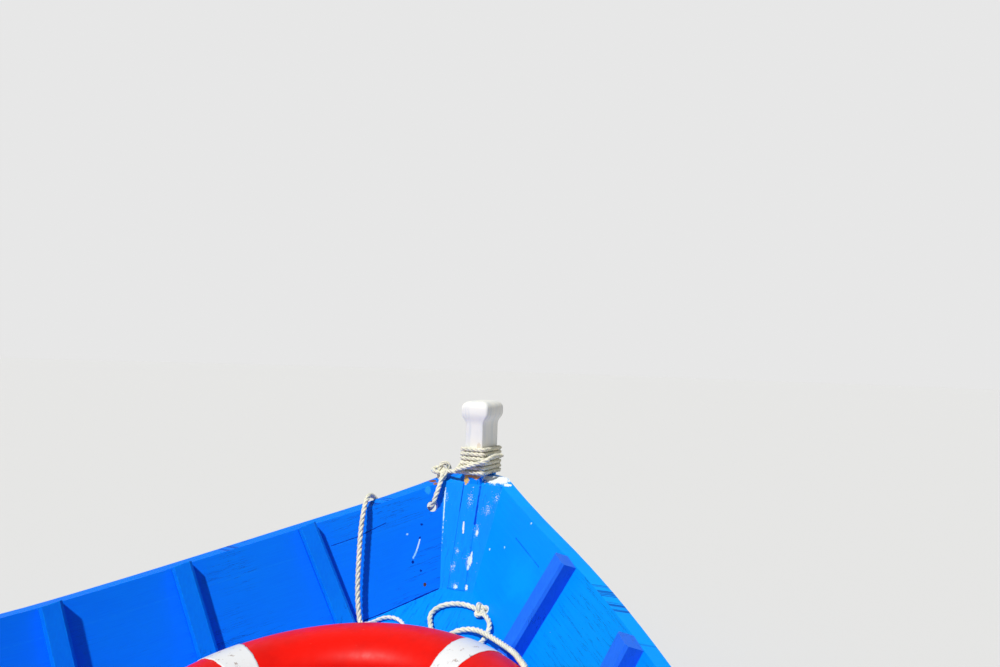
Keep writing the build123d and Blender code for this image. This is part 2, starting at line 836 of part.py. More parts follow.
def ring_point(turn, out, height):
    """Place at an angle from starboard, a distance outside the ring's edge and a height."""
    across = (ring_outer + out) * cos(radians(turn))
    along = (ring_outer + out) * sin(radians(turn))
    return ring_plane.from_local_coords((across, along, height))


# Each span: turn of its first tape, direction round the ring, and its points
grab_spans = [
    (tape_turn + 90, -1, port_bow_span),
    (tape_turn + 90, 1, slack_span),
    (tape_turn + 180, 1, slack_span),
    (tape_turn + 270, 1, starboard_bow_span),
]
with BuildPart() as grab_line:
    for start, way, span in grab_spans:
        route = [ring_point(start + way * turn, out, height) for turn, out, height in span]
        add(rope_tube("grab_line", route, grab_diameter))
finish(grab_line, "grab_line", "white")
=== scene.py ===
from math import atan2, ceil, cos, pi, radians, sin, sqrt

import bpy
from mathutils import Euler, Matrix, Vector, noise
from mathutils.bvhtree import BVHTree


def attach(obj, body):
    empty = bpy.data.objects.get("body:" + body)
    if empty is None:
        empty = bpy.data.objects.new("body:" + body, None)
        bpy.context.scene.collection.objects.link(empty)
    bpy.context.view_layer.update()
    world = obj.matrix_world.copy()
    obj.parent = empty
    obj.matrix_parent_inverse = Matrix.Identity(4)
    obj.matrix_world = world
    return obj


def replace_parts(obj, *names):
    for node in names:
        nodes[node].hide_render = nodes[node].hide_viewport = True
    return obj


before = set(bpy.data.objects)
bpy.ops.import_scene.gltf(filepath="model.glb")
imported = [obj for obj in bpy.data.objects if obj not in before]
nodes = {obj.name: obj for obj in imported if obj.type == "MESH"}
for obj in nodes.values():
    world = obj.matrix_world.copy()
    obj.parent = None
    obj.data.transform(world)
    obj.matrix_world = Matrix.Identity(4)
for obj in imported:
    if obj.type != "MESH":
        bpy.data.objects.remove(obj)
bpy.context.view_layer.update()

bpy.context.scene.view_settings.view_transform = "Standard"


def fed(tree, made, inputs):
    """A shader node with its inputs given, each as a value or as another node's output."""
    for name, value in inputs.items():
        if isinstance(value, bpy.types.NodeSocket):
            tree.links.new(value, made.inputs[name])
        else:
            made.inputs[name].default_value = value
    return made


def add_node(tree, kind, inputs=None, **settings):
    """A new shader node with its settings and inputs."""
    made = tree.nodes.new("ShaderNode" + kind)
    for name, value in settings.items():
        setattr(made, name, value)
    return fed(tree, made, inputs or {})


def sums(tree, operation, first, second=0.0, third=0.0, clamp=False):
    """Output of one step of arithmetic on values or outputs."""
    inputs = {0: first, 1: second, 2: third}
    return add_node(tree, "Math", inputs, operation=operation, use_clamp=clamp).outputs[0]


def vectors(tree, operation, inputs):
    """Output of one step of arithmetic on vectors: a number if it is a length or a product."""
    made = add_node(tree, "VectorMath", inputs, operation=operation)
    return made.outputs[1 if operation in ("LENGTH", "DOT_PRODUCT") else 0]


def new_finish(name):
    """A new material with its node tree and its shader."""
    material = bpy.data.materials.new(name)
    material.use_nodes = True
    return material, material.node_tree, material.node_tree.nodes["Principled BSDF"]


def surfaced(tree, shader, colour, rough, height, relief, depth, specular=0.5, metal=0.0):
    """Give a shader its colour, roughness, relief and shine."""
    bump = add_node(tree, "Bump", {"Strength": relief, "Distance": depth, "Height": height})
    inputs = {"Base Color": colour, "Roughness": rough, "Normal": bump.outputs[0]}
    fed(tree, shader, {**inputs, "Specular IOR Level": specular, "Metallic": metal})


def placed(name, data):
    """A new object with its data, linked into the scene."""
    made = bpy.data.objects.new(name, data)
    bpy.context.scene.collection.objects.link(made)
    return made


def chosen(piece):
    """The piece, once it is the only one selected and the active one."""
    bpy.ops.object.select_all(action="DESELECT")
    bpy.context.view_layer.objects.active = piece
    piece.select_set(True)
    return piece


def painted(piece, material):
    """The piece, once a material has taken the place of those that it had."""
    piece.data.materials.clear()
    piece.data.materials.append(material)
    return piece


# Camera at eye height over the middle of the boat, looking forward along the port bow
# and held a little askew. Its place and turn come from the two sheer lines and the frames.
eye_place = (0.7151, 1.1965, 0.7414)
eye_turn = 21.5006
eye_rise = 2.0835
eye_roll = 1.8111
eye_lens = 26.70
eye = bpy.data.cameras.new("eye")
eye.lens = eye_lens
eye.sensor_width = 36.0
eye.clip_start = 0.05
camera = placed("eye", eye)
aim = Euler((radians(90 + eye_rise), 0, radians(eye_turn))).to_matrix()
aim = aim @ Matrix.Rotation(radians(eye_roll), 3, "Z")
camera.matrix_world = Matrix.Translation(eye_place) @ aim.to_4x4()
bpy.context.scene.camera = camera

# Light: a soft sun from behind the camera and a plain pale surround, which the camera
# and reflections see at full strength.
sun_travel = Vector((0.138, 0.634, -0.761))
sun_strength = 3.25
sun_softness = 3.0
surround_strength = 0.28
surround_colour = (0.80, 0.80, 0.80, 1)
lamp = bpy.data.lights.new("sun", "SUN")
lamp.energy = sun_strength
lamp.angle = radians(sun_softness)
sun = placed("sun", lamp)
sun.rotation_euler = sun_travel.to_track_quat("-Z", "Y").to_euler()

surround = bpy.data.worlds.new("surround")
surround.use_nodes = True
air = surround.node_tree
air.nodes.clear()
rays = add_node(air, "LightPath")
seen = sums(air, "MAXIMUM", rays.outputs["Is Camera Ray"], rays.outputs["Is Glossy Ray"])
seen = sums(air, "MAXIMUM", seen, rays.outputs["Is Transmission Ray"])
strength = sums(air, "MULTIPLY_ADD", seen, 1.0 - surround_strength, surround_strength)
glow = add_node(air, "Background", {"Color": surround_colour, "Strength": strength})
add_node(air, "OutputWorld", {"Surface": glow.outputs[0]})
bpy.context.scene.world = surround

# Floor at the waterline. The boat floats in it, so it has a hole whose edge runs inside
# the thickness of the side planking and across the rising ends of the bottom.
water_height = 0.09
stem_place = 2.86075
water_fore = 0.345
water_aft = 5.08
water_steps = 60
well_abeam = 1.5
floor_reach = 45.0
floor_colour = (0.78, 0.78, 0.77)
half_plank = 0.010


def skin_of(*names):
    """Search tree over the surfaces of some planks."""
    points, faces = [], []
    for name in names:
        mesh = nodes[name].data
        first = len(points)
        points += [v.co.copy() for v in mesh.vertices]
        faces += [[first + i for i in p.vertices] for p in mesh.polygons]
    return BVHTree.FromPolygons(points, faces)


strakes = [f"strake_{row}_{hand}" for row in ("upper", "lower") for hand in ("port", "starboard")]
side_skin = skin_of(*strakes)
bottom_skin = skin_of("bottom_planking")
hull_skin = skin_of("bottom_planking", *strakes)
edge = []
for step in range(water_steps + 1):
    place = stem_place - water_fore - (water_aft - water_fore) * step / water_steps
    abeam = Vector((well_abeam, place, water_height))
    found = hull_skin.ray_cast(abeam, Vector((-1, 0, 0)))[0]
    if found is not None:
        edge.append((found.x - half_plank, place))
edge += [(-x, y) for x, y in reversed(edge)]
corners = [(x, y, water_height) for x, y in edge]
for x, y in edge:
    out = Vector((x, y)).normalized() * floor_reach
    corners.append((out.x, out.y, water_height))
count = len(edge)
strips = [(i, (i + 1) % count, count + (i + 1) % count, count + i) for i in range(count)]
water_mesh = bpy.data.meshes.new("floor")
water_mesh.from_pydata(corners, [], strips)
water = placed("floor", water_mesh)
water_paint, water_tree, water_shader = new_finish("floor")
dull = {"Roughness": 0.85, "Specular IOR Level": 0.1}
fed(water_tree, water_shader, {"Base Color": (*floor_colour, 1), **dull})
water_mesh.materials.append(water_paint)

# Side planking: sawn softwood boards, two to a side, bent round the frames and brushed
# with several coats of blue gloss paint that shows the grain, fine cracks and chips.
blue_lit = (0.0008, 0.212, 0.97)
blue_deep = (0.0006, 0.168, 0.93)
# The starboard tones are the same blue made lighter: painted light, for the sun falling more squarely
# on that side.
starboard_painted_sun_lit = (0.0008, 0.330, 0.98)
starboard_painted_sun_deep = (0.0006, 0.262, 0.95)
blue_crack = (0.0, 0.030, 0.32)
# White of chips in the paint, and also of painted glints on the inner stem.
chip_and_glint_white = (0.80, 0.86, 0.88)
# Place along the boat and height of the sheer there.
sheer_marks = [
    (-2.74, 0.3148), (-1.68, 0.2774), (-0.26, 0.2420), (0.85, 0.2261), (1.56, 0.2212),
    (2.04, 0.2206), (2.24, 0.2392), (2.439, 0.2835), (2.638, 0.3461), (2.75, 0.3925),
    (2.861, 0.4400), (2.90, 0.4570), (3.00, 0.4570),
]
sheer_span = 3.0
sheer_scale = 0.5
arris_reach = 0.004
broad_grain = (4, 4, 4)
flake_grain = (130, 130, 130)
flake_zone = (9, 9, 9)
grain_line = 0.52
crack_share = 0.75
paint_specular = 0.08
paint_relief = 0.0012
chip_edge = 0.02


def along_the_sheer(tree):
    """Object place with its height taken from the sheer, so that grain follows the planks."""
    where = add_node(tree, "TexCoord").outputs["Object"]
    split = add_node(tree, "SeparateXYZ", {0: where})
    share = sums(tree, "MULTIPLY_ADD", split.outputs["Y"], 0.5 / sheer_span, 0.5)
    bend = add_node(tree, "FloatCurve", {"Value": share})
    curve = bend.mapping.curves[0]
    for place, height in sheer_marks:
        curve.points.new(place * 0.5 / sheer_span + 0.5, height / sheer_scale)
    curve.points[0].location = (0.0, sheer_marks[0][1] / sheer_scale)
    curve.points[-1].location = (1.0, sheer_marks[-1][1] / sheer_scale)
    bend.mapping.update()
    height = sums(tree, "MULTIPLY", bend.outputs[0], sheer_scale)
    drop = sums(tree, "SUBTRACT", split.outputs["Z"], height)
    return add_node(
        tree, "CombineXYZ", {"X": 0.0, "Y": split.outputs["Y"], "Z": drop}
    ).outputs[0]


def as_placed(tree):
    """Object place as it is."""
    return add_node(tree, "TexCoord").outputs["Object"]


def cloud(tree, vector, stretch, detail=5.0, rough=0.55, twist=0.0):
    """Noise over a vector that is first scaled along each axis."""
    scaled = add_node(tree, "Mapping", {"Vector": vector, "Scale": stretch}).outputs[0]
    inputs = {"Vector": scaled, "Scale": 1.0, "Detail": detail, "Roughness": rough}
    inputs["Distortion"] = twist
    return add_node(tree, "TexNoise", inputs).outputs["Fac"]


def between(tree, value, low, high):
    """0 below low and 1 above high, with a smooth change between them."""
    inputs = {"Value": value, "From Min": low, "From Max": high}
    return add_node(tree, "MapRange", inputs, interpolation_type="SMOOTHSTEP").outputs[0]


def blended(tree, share, first, second):
    """Colour that goes from first to second as share goes from 0 to 1."""
    inputs = {0: share}
    for place, value in ((6, first), (7, second)):
        inputs[place] = value if isinstance(value, bpy.types.NodeSocket) else (*value, 1)
    return add_node(tree, "Mix", inputs, data_type="RGBA").outputs[2]


def how_far(tree, where, centre, size):
    """Distance from a place, with each axis measured in its own size."""
    apart = vectors(tree, "SUBTRACT", {0: where, 1: centre})
    apart = vectors(tree, "MULTIPLY", {0: apart, 1: tuple(1 / s for s in size)})
    return vectors(tree, "LENGTH", {0: apart})


spot_ragged = 2.2
streak_ragged = 2.4


def patch(tree, centre, size, ragged):
    """1 inside a ragged spot round a place and 0 outside it. A coarse spot has a soft edge."""
    where = as_placed(tree)
    far = how_far(tree, where, centre, size)
    edge = cloud(tree, where, (ragged,) * 3, 4.0, 0.7)
    far = sums(tree, "SUBTRACT", far, spot_ragged / 2)
    far = sums(tree, "MULTIPLY_ADD", edge, spot_ragged, far)
    soft = min(0.6, 18 / ragged)
    return between(tree, far, 1 + soft, 1 - soft)


def streak(tree, start, end, width, ragged):
    """1 along a ragged line between two places, and 0 away from it."""
    where = as_placed(tree)
    span = Vector(end) - Vector(start)
    share = tuple(span / span.length_squared)
    gone = vectors(tree, "SUBTRACT", {0: where, 1: start})
    along = vectors(tree, "DOT_PRODUCT", {0: gone, 1: share})
    along = sums(tree, "MULTIPLY", along, 1.0, clamp=True)
    foot = vectors(tree, "SCALE", {0: tuple(span), "Scale": along})
    far = vectors(tree, "LENGTH", {0: vectors(tree, "SUBTRACT", {0: gone, 1: foot})})
    edge = cloud(tree, where, (ragged,) * 3, 4.0, 0.7)
    edge = sums(tree, "MULTIPLY_ADD", edge, streak_ragged, -streak_ragged / 2)
    far = sums(tree, "MULTIPLY_ADD", far, 1 / width, edge)
    return between(tree, far, 1.1, 0.8)


# Pale specks on the inner stem are painted highlights: glints of light on glossy paint.
glint_grain = (420, 420, 420)
glint_level = 0.72


def painted_glints(tree, glint_zones):
    """Small pale specks, painted highlights, close together inside some zones and absent elsewhere.
    """
    spot = as_placed(tree)
    flake = cloud(tree, spot, glint_grain, 4.0, 0.6)
    near = 0.0
    for centre, size in glint_zones:
        far = how_far(tree, spot, centre, size)
        near = sums(tree, "MAXIMUM", near, sums(tree, "SUBTRACT", 1.3, far))
    level = sums(tree, "MULTIPLY_ADD", near, 0.16, flake)
    return between(tree, level, glint_level, glint_level + 0.03)


def brushed_paint(
    name,
    lit,
    deep,
    crack,
    place=as_placed,
    stretch=(55, 5, 55),
    chips=(0.72, 0.62),
    arris=(0.02, 0.42, 0.95),
    wear=0.12,
    patches=(),
    streaks=(),
    glint_zones=(),
    gloss=0.40,
    relief=0.22,
):
    """Brushed gloss paint on wood: streaks, grain, cracks, chips, pale arrises that are worn and in
    part a painted highlight, clusters of painted glints, and patches.
    """
    material, tree, shader = new_finish(name)
    run = place(tree)
    spot = as_placed(tree)
    grain = cloud(tree, run, stretch, 9.0, 0.62, 0.25)
    fine = cloud(tree, run, tuple(s * 5 for s in stretch), 4.0, 0.6)
    broad = cloud(tree, spot, broad_grain, 3.0, 0.5)
    line = sums(tree, "ABSOLUTE", sums(tree, "SUBTRACT", grain, grain_line))
    opened = between(tree, broad, 0.49, 0.60)
    cracked = sums(tree, "MULTIPLY", between(tree, line, 0.008, 0.002), opened)
    flake = cloud(tree, spot, flake_grain, 5.0, 0.65)
    chipped = between(tree, flake, chips[0], chips[0] + chip_edge)
    zone = cloud(tree, spot, flake_zone, 3.0, 0.55)
    chipped = sums(tree, "MULTIPLY", chipped, between(tree, zone, chips[1], chips[1] + 3 * chip_edge))
    # Pale arrises: wear, and where the wear share is high, as on the frames, also a painted highlight
    # where light catches the chamfer.
    normal = add_node(tree, "NewGeometry").outputs["Normal"]
    soft = add_node(tree, "Bevel", {"Radius": arris_reach}, samples=6).outputs[0]
    agree = vectors(tree, "DOT_PRODUCT", {0: normal, 1: soft})
    rubbed_and_lit = between(tree, flake, 0.40, 0.56)
    worn_and_lit_arris = sums(tree, "MULTIPLY", between(tree, agree, 0.985, 0.90), rubbed_and_lit)
    tone = sums(tree, "MULTIPLY_ADD", fine, 0.5, sums(tree, "MULTIPLY", broad, 0.7))
    colour = blended(tree, between(tree, tone, 0.35, 0.85), deep, lit)
    colour = blended(tree, sums(tree, "MULTIPLY", cracked, crack_share), colour, crack)
    colour = blended(tree, sums(tree, "MULTIPLY", worn_and_lit_arris, wear), colour, arris)
    colour = blended(tree, chipped, colour, chip_and_glint_white)
    # Painted highlights: pale specks clustered in the given zones.
    if glint_zones:
        colour = blended(tree, painted_glints(tree, glint_zones), colour, chip_and_glint_white)
    for start, end, width, ragged, paint in streaks:
        colour = blended(tree, streak(tree, start, end, width, ragged), colour, paint)
    for centre, size, ragged, paint in patches:
        colour = blended(tree, patch(tree, centre, size, ragged), colour, paint)
    height = sums(tree, "MULTIPLY_ADD", fine, 0.25, grain)
    height = sums(tree, "SUBTRACT", height, sums(tree, "MULTIPLY", cracked, 0.8))
    height = sums(tree, "SUBTRACT", height, sums(tree, "MULTIPLY", chipped, 0.4))
    rough = sums(tree, "MULTIPLY_ADD", fine, 0.22, gloss - 0.08)
    surfaced(tree, shader, colour, rough, height, relief, paint_relief, paint_specular)
    return material


def dress(material, *names):
    """Give a material to some of the frame's own pieces."""
    for name in names:
        painted(nodes[name], material)


# Spots: place, size, how ragged (coarse ones are soft), colour. Streaks: start, end,
# width, how ragged, colour.
port_patches = [
    ((-0.1050, 2.8570, 0.4385), (0.0090, 0.0060, 0.0040), 300, (0.22, 0.075, 0.03)),
    ((-0.0940, 2.8500, 0.4340), (0.0050, 0.0060, 0.0030), 300, (0.34, 0.16, 0.08)),
    ((-0.1260, 2.7732, 0.3230), (0.0025, 0.0025, 0.0025), 300, (0.35, 0.66, 0.93)),
    ((-0.1022, 2.8001, 0.3433), (0.0028, 0.0028, 0.0028), 300, (0.0, 0.03, 0.35)),
    ((-0.1005, 2.7887, 0.3147), (0.0026, 0.0026, 0.0026), 300, (0.0, 0.02, 0.30)),
    ((-0.1038, 2.7633, 0.2630), (0.0030, 0.0030, 0.0034), 300, (0.0, 0.02, 0.28)),
    ((-0.0843, 2.7692, 0.2432), (0.0026, 0.0026, 0.0026), 300, (0.0, 0.03, 0.34)),
    ((-0.0716, 2.7661, 0.2145), (0.0036, 0.0036, 0.0040), 300, (0.09, 0.045, 0.03)),
    ((-0.1049, 2.8321, 0.4203), (0.0070, 0.0070, 0.0100), 320, (0.02, 0.34, 0.90)),
]
# Dark lines along the chine and between the side planks: painted shadow in the seams.
seam_painted_shadow = (0.0, 0.020, 0.34)
chine_painted_shadows = [
    ((-0.0436, 2.7821, 0.2041), (-0.0909, 2.7371, 0.1820), 0.0017, 70, seam_painted_shadow),
    ((-0.0909, 2.7371, 0.1820), (-0.1358, 2.6937, 0.1609), 0.0014, 70, seam_painted_shadow),
    ((-0.1358, 2.6937, 0.1609), (-0.1818, 2.6510, 0.1425), 0.0017, 70, seam_painted_shadow),
]
port_streaks = chine_painted_shadows + [
    ((-0.2615, 2.6622, 0.3038), (-0.2176, 2.7033, 0.3211), 0.0009, 120, seam_painted_shadow),
    ((-0.2176, 2.7033, 0.3211), (-0.1716, 2.7504, 0.3492), 0.0009, 120, seam_painted_shadow),
    ((-0.0996, 2.7874, 0.3102), (-0.1013, 2.7752, 0.2857), 0.0017, 260, (0.62, 0.82, 0.95)),
    ((-0.1013, 2.7752, 0.2857), (-0.1044, 2.7667, 0.2716), 0.0020, 300, (0.30, 0.66, 0.95)),
    ((-0.0960, 2.7600, 0.2590), (-0.0760, 2.7690, 0.2330), 0.0014, 420, (0.0, 0.03, 0.36)),
]
starboard_patches = [
    ((0.0560, 2.8850, 0.4510), (0.0300, 0.0260, 0.0110), 120, chip_and_glint_white),
    ((0.0880, 2.8690, 0.4440), (0.0100, 0.0060, 0.0050), 260, chip_and_glint_white),
    ((0.1198, 2.7770, 0.3210), (0.0022, 0.0022, 0.0022), 300, (0.40, 0.75, 0.95)),
    ((0.0729, 2.8049, 0.3044), (0.0024, 0.0024, 0.0024), 300, (0.50, 0.80, 0.95)),
    ((0.1897, 2.7535, 0.3868), (0.0022, 0.0022, 0.0022), 300, (0.55, 0.82, 0.95)),
    # A soft, wide spot of the lighter starboard blue: a painted pool of light.
    ((0.1832, 2.7086, 0.2746), (0.0450, 0.0450, 0.0400), 30, (0.0010, 0.33, 0.98)),
]
starboard_streaks = [
    # A dark line along a starboard plank seam: painted shadow.
    ((0.1501, 2.7660, 0.3478), (0.2305, 2.6899, 0.3128), 0.0012, 300, (0.0, 0.13, 0.80)),
]
port_blue = brushed_paint(
    "port_blue", blue_lit, blue_deep, blue_crack, along_the_sheer, (1, 4, 110),
    patches=port_patches, streaks=port_streaks,
)
# Starboard planking takes the lighter copy of the paint, which is painted light.
starboard_blue_painted_light = brushed_paint(
    "starboard_blue_painted_light", starboard_painted_sun_lit, starboard_painted_sun_deep, blue_crack, along_the_sheer, (1, 4, 110),
    patches=starboard_patches, streaks=starboard_streaks,
)
dress(port_blue, "strake_upper_port", "strake_lower_port", "riser_port")
dress(starboard_blue_painted_light, "strake_upper_starboard", "strake_lower_starboard", "riser_starboard")

# Bottom planking: one skin of boards that rises in a curve to the stem and the transom,
# nailed up into the edges of the lower side planks and painted with them.
bottom_blue = brushed_paint(
    "bottom_blue", (0.0008, 0.290, 0.97), (0.0006, 0.228, 0.94), blue_crack,
    stretch=(60, 4, 8), chips=(0.69, 0.60), streaks=chine_painted_shadows,
)
dress(bottom_blue, "bottom_planking")
across_blue = brushed_paint(
    "across_blue", blue_lit, blue_deep, blue_crack, stretch=(5, 50, 70),
)
dress(across_blue, "transom", "transom_knee_port", "transom_knee_starboard")

# Stem: a raked oak post with a flared head, painted white above the sheer. Below it the
# post's inner face and the cheeks beside it are blue, chipped to the white coat beneath, with painted
# glints.
post_white = (0.93, 0.92, 0.85)
post_shade = (0.80, 0.82, 0.80)
cheek_lit = (0.0010, 0.300, 0.98)
cheek_deep = (0.0008, 0.235, 0.95)
paint_line = 0.4600


def stem_paint(name, white_top):
    """Blue inner stem with pale streaks that are painted highlights, and the white post above the
    paint line.
    """
    material = brushed_paint(
        name, cheek_lit, cheek_deep, blue_crack, stretch=(70, 20, 6), chips=(0.70, 0.60),
        patches=stem_patches, streaks=stem_streaks, glint_zones=stem_glint_zones,
    )
    if not white_top:
        return material
    tree = material.node_tree
    shader = tree.nodes["Principled BSDF"]
    blue = shader.inputs["Base Color"].links[0].from_socket
    spot = as_placed(tree)
    height = add_node(tree, "SeparateXYZ", {0: spot}).outputs["Z"]
    ragged = cloud(tree, spot, (90, 90, 40), 4.0, 0.6)
    level = sums(tree, "MULTIPLY_ADD", ragged, 0.016, height)
    above = between(tree, level, paint_line + 0.0075, paint_line + 0.009)
    tone = cloud(tree, spot, (60, 60, 9), 6.0, 0.6)
    white = blended(tree, between(tree, tone, 0.42, 0.66), post_white, post_shade)
    flake = cloud(tree, spot, (150, 150, 60), 5.0, 0.6)
    stained = between(tree, flake, 0.68, 0.72)
    white = blended(tree, sums(tree, "MULTIPLY", stained, 0.35), white, (0.50, 0.50, 0.46))
    tan = patch(tree, (0.014, 2.8607, 0.532), (0.005, 0.01, 0.010), 260)
    white = blended(tree, sums(tree, "MULTIPLY", tan, 0.45), white, (0.72, 0.55, 0.34))
    colour = blended(tree, above, blue, white)
    for centre, size, ragged, paint in bare_patches:
        colour = blended(tree, patch(tree, centre, size, ragged), colour, paint)
    tree.links.new(colour, shader.inputs["Base Color"])
    return material


bare_patches = [
    ((-0.0165, 2.8607, 0.4490), (0.0070, 0.0100, 0.0100), 200, (0.85, 0.52, 0.14)),
    ((0.0080, 2.8607, 0.4570), (0.0090, 0.0100, 0.0050), 240, (0.85, 0.38, 0.14)),
    ((-0.0020, 2.8607, 0.4590), (0.0200, 0.0100, 0.0030), 240, (0.70, 0.36, 0.13)),
]
stem_patches = [
    ((0.0500, 2.8860, 0.4520), (0.0300, 0.0260, 0.0110), 120, chip_and_glint_white),
    # Small pale spots on the inner stem: painted highlights, glints on the glossy paint.
    ((0.0236, 2.8062, 0.2720), (0.0052, 0.0140, 0.0110), 330, (0.74, 0.86, 0.93)),
    ((0.0212, 2.8040, 0.2570), (0.0030, 0.0100, 0.0060), 420, (0.70, 0.85, 0.93)),
    ((0.0252, 2.8080, 0.2860), (0.0022, 0.0100, 0.0060), 420, (0.70, 0.85, 0.93)),
    ((0.0245, 2.7885, 0.2150), (0.0036, 0.0080, 0.0060), 380, (0.78, 0.88, 0.93)),
    ((0.0310, 2.8262, 0.3330), (0.0032, 0.0080, 0.0066), 380, (0.74, 0.86, 0.93)),
    ((-0.0020, 2.7870, 0.2130), (0.0046, 0.0080, 0.0034), 380, (0.66, 0.84, 0.93)),
]
stem_streaks = [
    # Two pale streaks on the inner stem: painted highlights.
    ((-0.0695, 2.8560, 0.4250), (-0.0440, 2.7835, 0.2120), 0.0017, 150, (0.62, 0.84, 0.95)),
    ((-0.0071, 2.8328, 0.3533), (-0.0045, 2.8250, 0.3290), 0.0021, 120, chip_and_glint_white),
    # Dark lines in the grooves between the post and the cheeks: painted shade.
    ((0.0215, 2.8607, 0.4520), (0.0215, 2.8330, 0.3530), 0.0032, 25, (0.0, 0.075, 0.70)),
    ((-0.0225, 2.8607, 0.4400), (-0.0225, 2.8400, 0.3760), 0.0014, 40, (0.0, 0.12, 0.80)),
]
# Places where small pale specks, painted highlights, lie close together, and how far they reach.
stem_glint_zones = [
    ((-0.0654, 2.8495, 0.4051), (0.010, 0.012, 0.018)),
    ((0.0483, 2.8432, 0.3856), (0.016, 0.014, 0.020)),
    ((0.0684, 2.8525, 0.4144), (0.014, 0.012, 0.018)),
    ((0.0002, 2.8490, 0.4036), (0.012, 0.014, 0.030)),
    ((0.0300, 2.8262, 0.3400), (0.010, 0.014, 0.024)),
    ((-0.0114, 2.8119, 0.2889), (0.009, 0.012, 0.020)),
    ((0.0200, 2.8062, 0.2750), (0.013, 0.012, 0.028)),
    ((-0.0175, 2.8005, 0.2535), (0.010, 0.012, 0.022)),
    ((-0.0050, 2.7873, 0.2165), (0.016, 0.012, 0.012)),
]
post_paint = stem_paint("post_paint", True)
cheek_paint = stem_paint("cheek_paint", False)
dress(cheek_paint, "stem_cheek_port", "stem_cheek_starboard")

# Post: sawn square, its arrises planed off, with a head that is cut larger than the neck
# and rounded over by hand, so that a rope's turns can't slip off it.
post_middle = 2.91075
post_cut = 0.520
post_arris = 0.003
same_corner = 0.00001
corner_steps = 8
smooth_below = 40
# Height of each section of the head, its half width, half depth and corner radius.
head_sections = [
    (0.519, 0.0225, 0.0500, 0.0030), (0.580, 0.0225, 0.0500, 0.0030),
    (0.588, 0.0235, 0.0508, 0.0035), (0.594, 0.0265, 0.0520, 0.0040),
    (0.600, 0.0312, 0.0536, 0.0050), (0.606, 0.0342, 0.0548, 0.0060),
    (0.611, 0.0350, 0.0552, 0.0065), (0.622, 0.0350, 0.0552, 0.0065),
    (0.629, 0.0338, 0.0540, 0.0070), (0.634, 0.0308, 0.0510, 0.0080),
    (0.638, 0.0255, 0.0455, 0.0080), (0.640, 0.0180, 0.0370, 0.0080),
]


def head_ring(height, half_width, half_depth, corner):
    """Places round one section of the post's head, an oblong with rounded corners."""
    places = []
    for quarter, (across, along) in enumerate(((1, 1), (-1, 1), (-1, -1), (1, -1))):
        for step in range(corner_steps):
            turn = pi / 2 * (quarter + step / (corner_steps - 1))
            places.append(Vector((
                across * (half_width - corner) + corner * cos(turn),
                post_middle + along * (half_depth - corner) + corner * sin(turn),
                height,
            )))
    return places


bpy.ops.object.select_all(action="DESELECT")
bpy.ops.mesh.primitive_circle_add(
    vertices=4 * corner_steps, fill_type="NGON", location=(0, post_middle, post_cut),
)
head = bpy.context.object
head.name = "post_head"
bpy.ops.object.transform_apply(location=True, rotation=False, scale=False)
for number, section in enumerate(head_sections):
    if number:
        bpy.ops.object.mode_set(mode="EDIT")
        bpy.ops.mesh.extrude_region_move()
        bpy.ops.object.mode_set(mode="OBJECT")
    ring = [vertex for vertex in head.data.vertices if vertex.select]
    for vertex, place in zip(ring, head_ring(*section)):
        vertex.co = place
bpy.ops.object.mode_set(mode="EDIT")
bpy.ops.mesh.select_all(action="SELECT")
bpy.ops.mesh.normals_make_consistent(inside=False)
bpy.ops.object.mode_set(mode="OBJECT")
bpy.ops.object.shade_smooth_by_angle(angle=radians(smooth_below))

post = chosen(placed("post_below_head", nodes["stem_post"].data.copy()))
bpy.ops.object.mode_set(mode="EDIT")
bpy.ops.mesh.select_all(action="SELECT")
bpy.ops.mesh.remove_doubles(threshold=same_corner)
bpy.ops.mesh.bisect(
    plane_co=(0, 0, post_cut), plane_no=(0, 0, 1), use_fill=True, clear_outer=True,
)
bpy.ops.object.mode_set(mode="OBJECT")
bevel = post.modifiers.new("arris", "BEVEL")
bevel.width = post_arris
bevel.segments = 3
bevel.angle_limit = radians(smooth_below)
bpy.ops.object.modifier_apply(modifier="arris")
for piece in (post, head):
    painted(piece, post_paint)
    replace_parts(piece, "stem_post")
    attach(piece, "hull")

# Frames: sawn ribs against the side planking and floor timbers across the bottom, nailed
# through the planks, their inner arrises taken off and worn by feet and gear, the pale edges partly a
# painted highlight.
frame_blue = brushed_paint(
    "frame_blue", (0.0008, 0.225, 0.97), (0.0006, 0.170, 0.90), blue_crack,
    stretch=(45, 45, 7), arris=(0.005, 0.42, 0.97), wear=0.75,
)
# Starboard ribs: a darker, more violet copy of the frame paint, painted shade on faces the sun only
# grazes.
shaded_blue = brushed_paint(
    "shaded_blue", (0.022, 0.200, 0.98), (0.014, 0.150, 0.90), blue_crack,
    stretch=(45, 45, 7), arris=(0.02, 0.25, 0.95), wear=0.5,
)
floor_blue = brushed_paint(
    "floor_blue", (0.0008, 0.200, 0.94), (0.0006, 0.140, 0.86), blue_crack,
    stretch=(6, 45, 45), chips=(0.68, 0.58), arris=(0.05, 0.50, 0.95), wear=0.7,
)
dress(frame_blue, *[name for name in nodes if name.startswith("rib_") and "port" in name])
dress(shaded_blue, *[name for name in nodes if name.startswith("rib_") and "starboard" in name])
dress(floor_blue, *[name for name in nodes if name.startswith("floor_timber")])

# In-between frames. The boat has a frame every 199 mm; the solids hold every third one
# abaft the fourth, and the rest are the same timbers moved along and fitted to the skin.
frame_spacing = 0.199
frame_first = 0.820
frame_last = 22
same_place = 0.01
solid_frames = {4 + i: frame_first + 3 * frame_spacing * i for i in range(7)}
flare_lean = 0.354
check_height = 0.17
beside_middle = 0.05
well_above = 1.0


def skin_breadth(station):
    """Half breadth inside the planking at one height."""
    start = Vector((0, stem_place - station, check_height))
    return side_skin.ray_cast(start, Vector((1, 0, 0)))[0].x


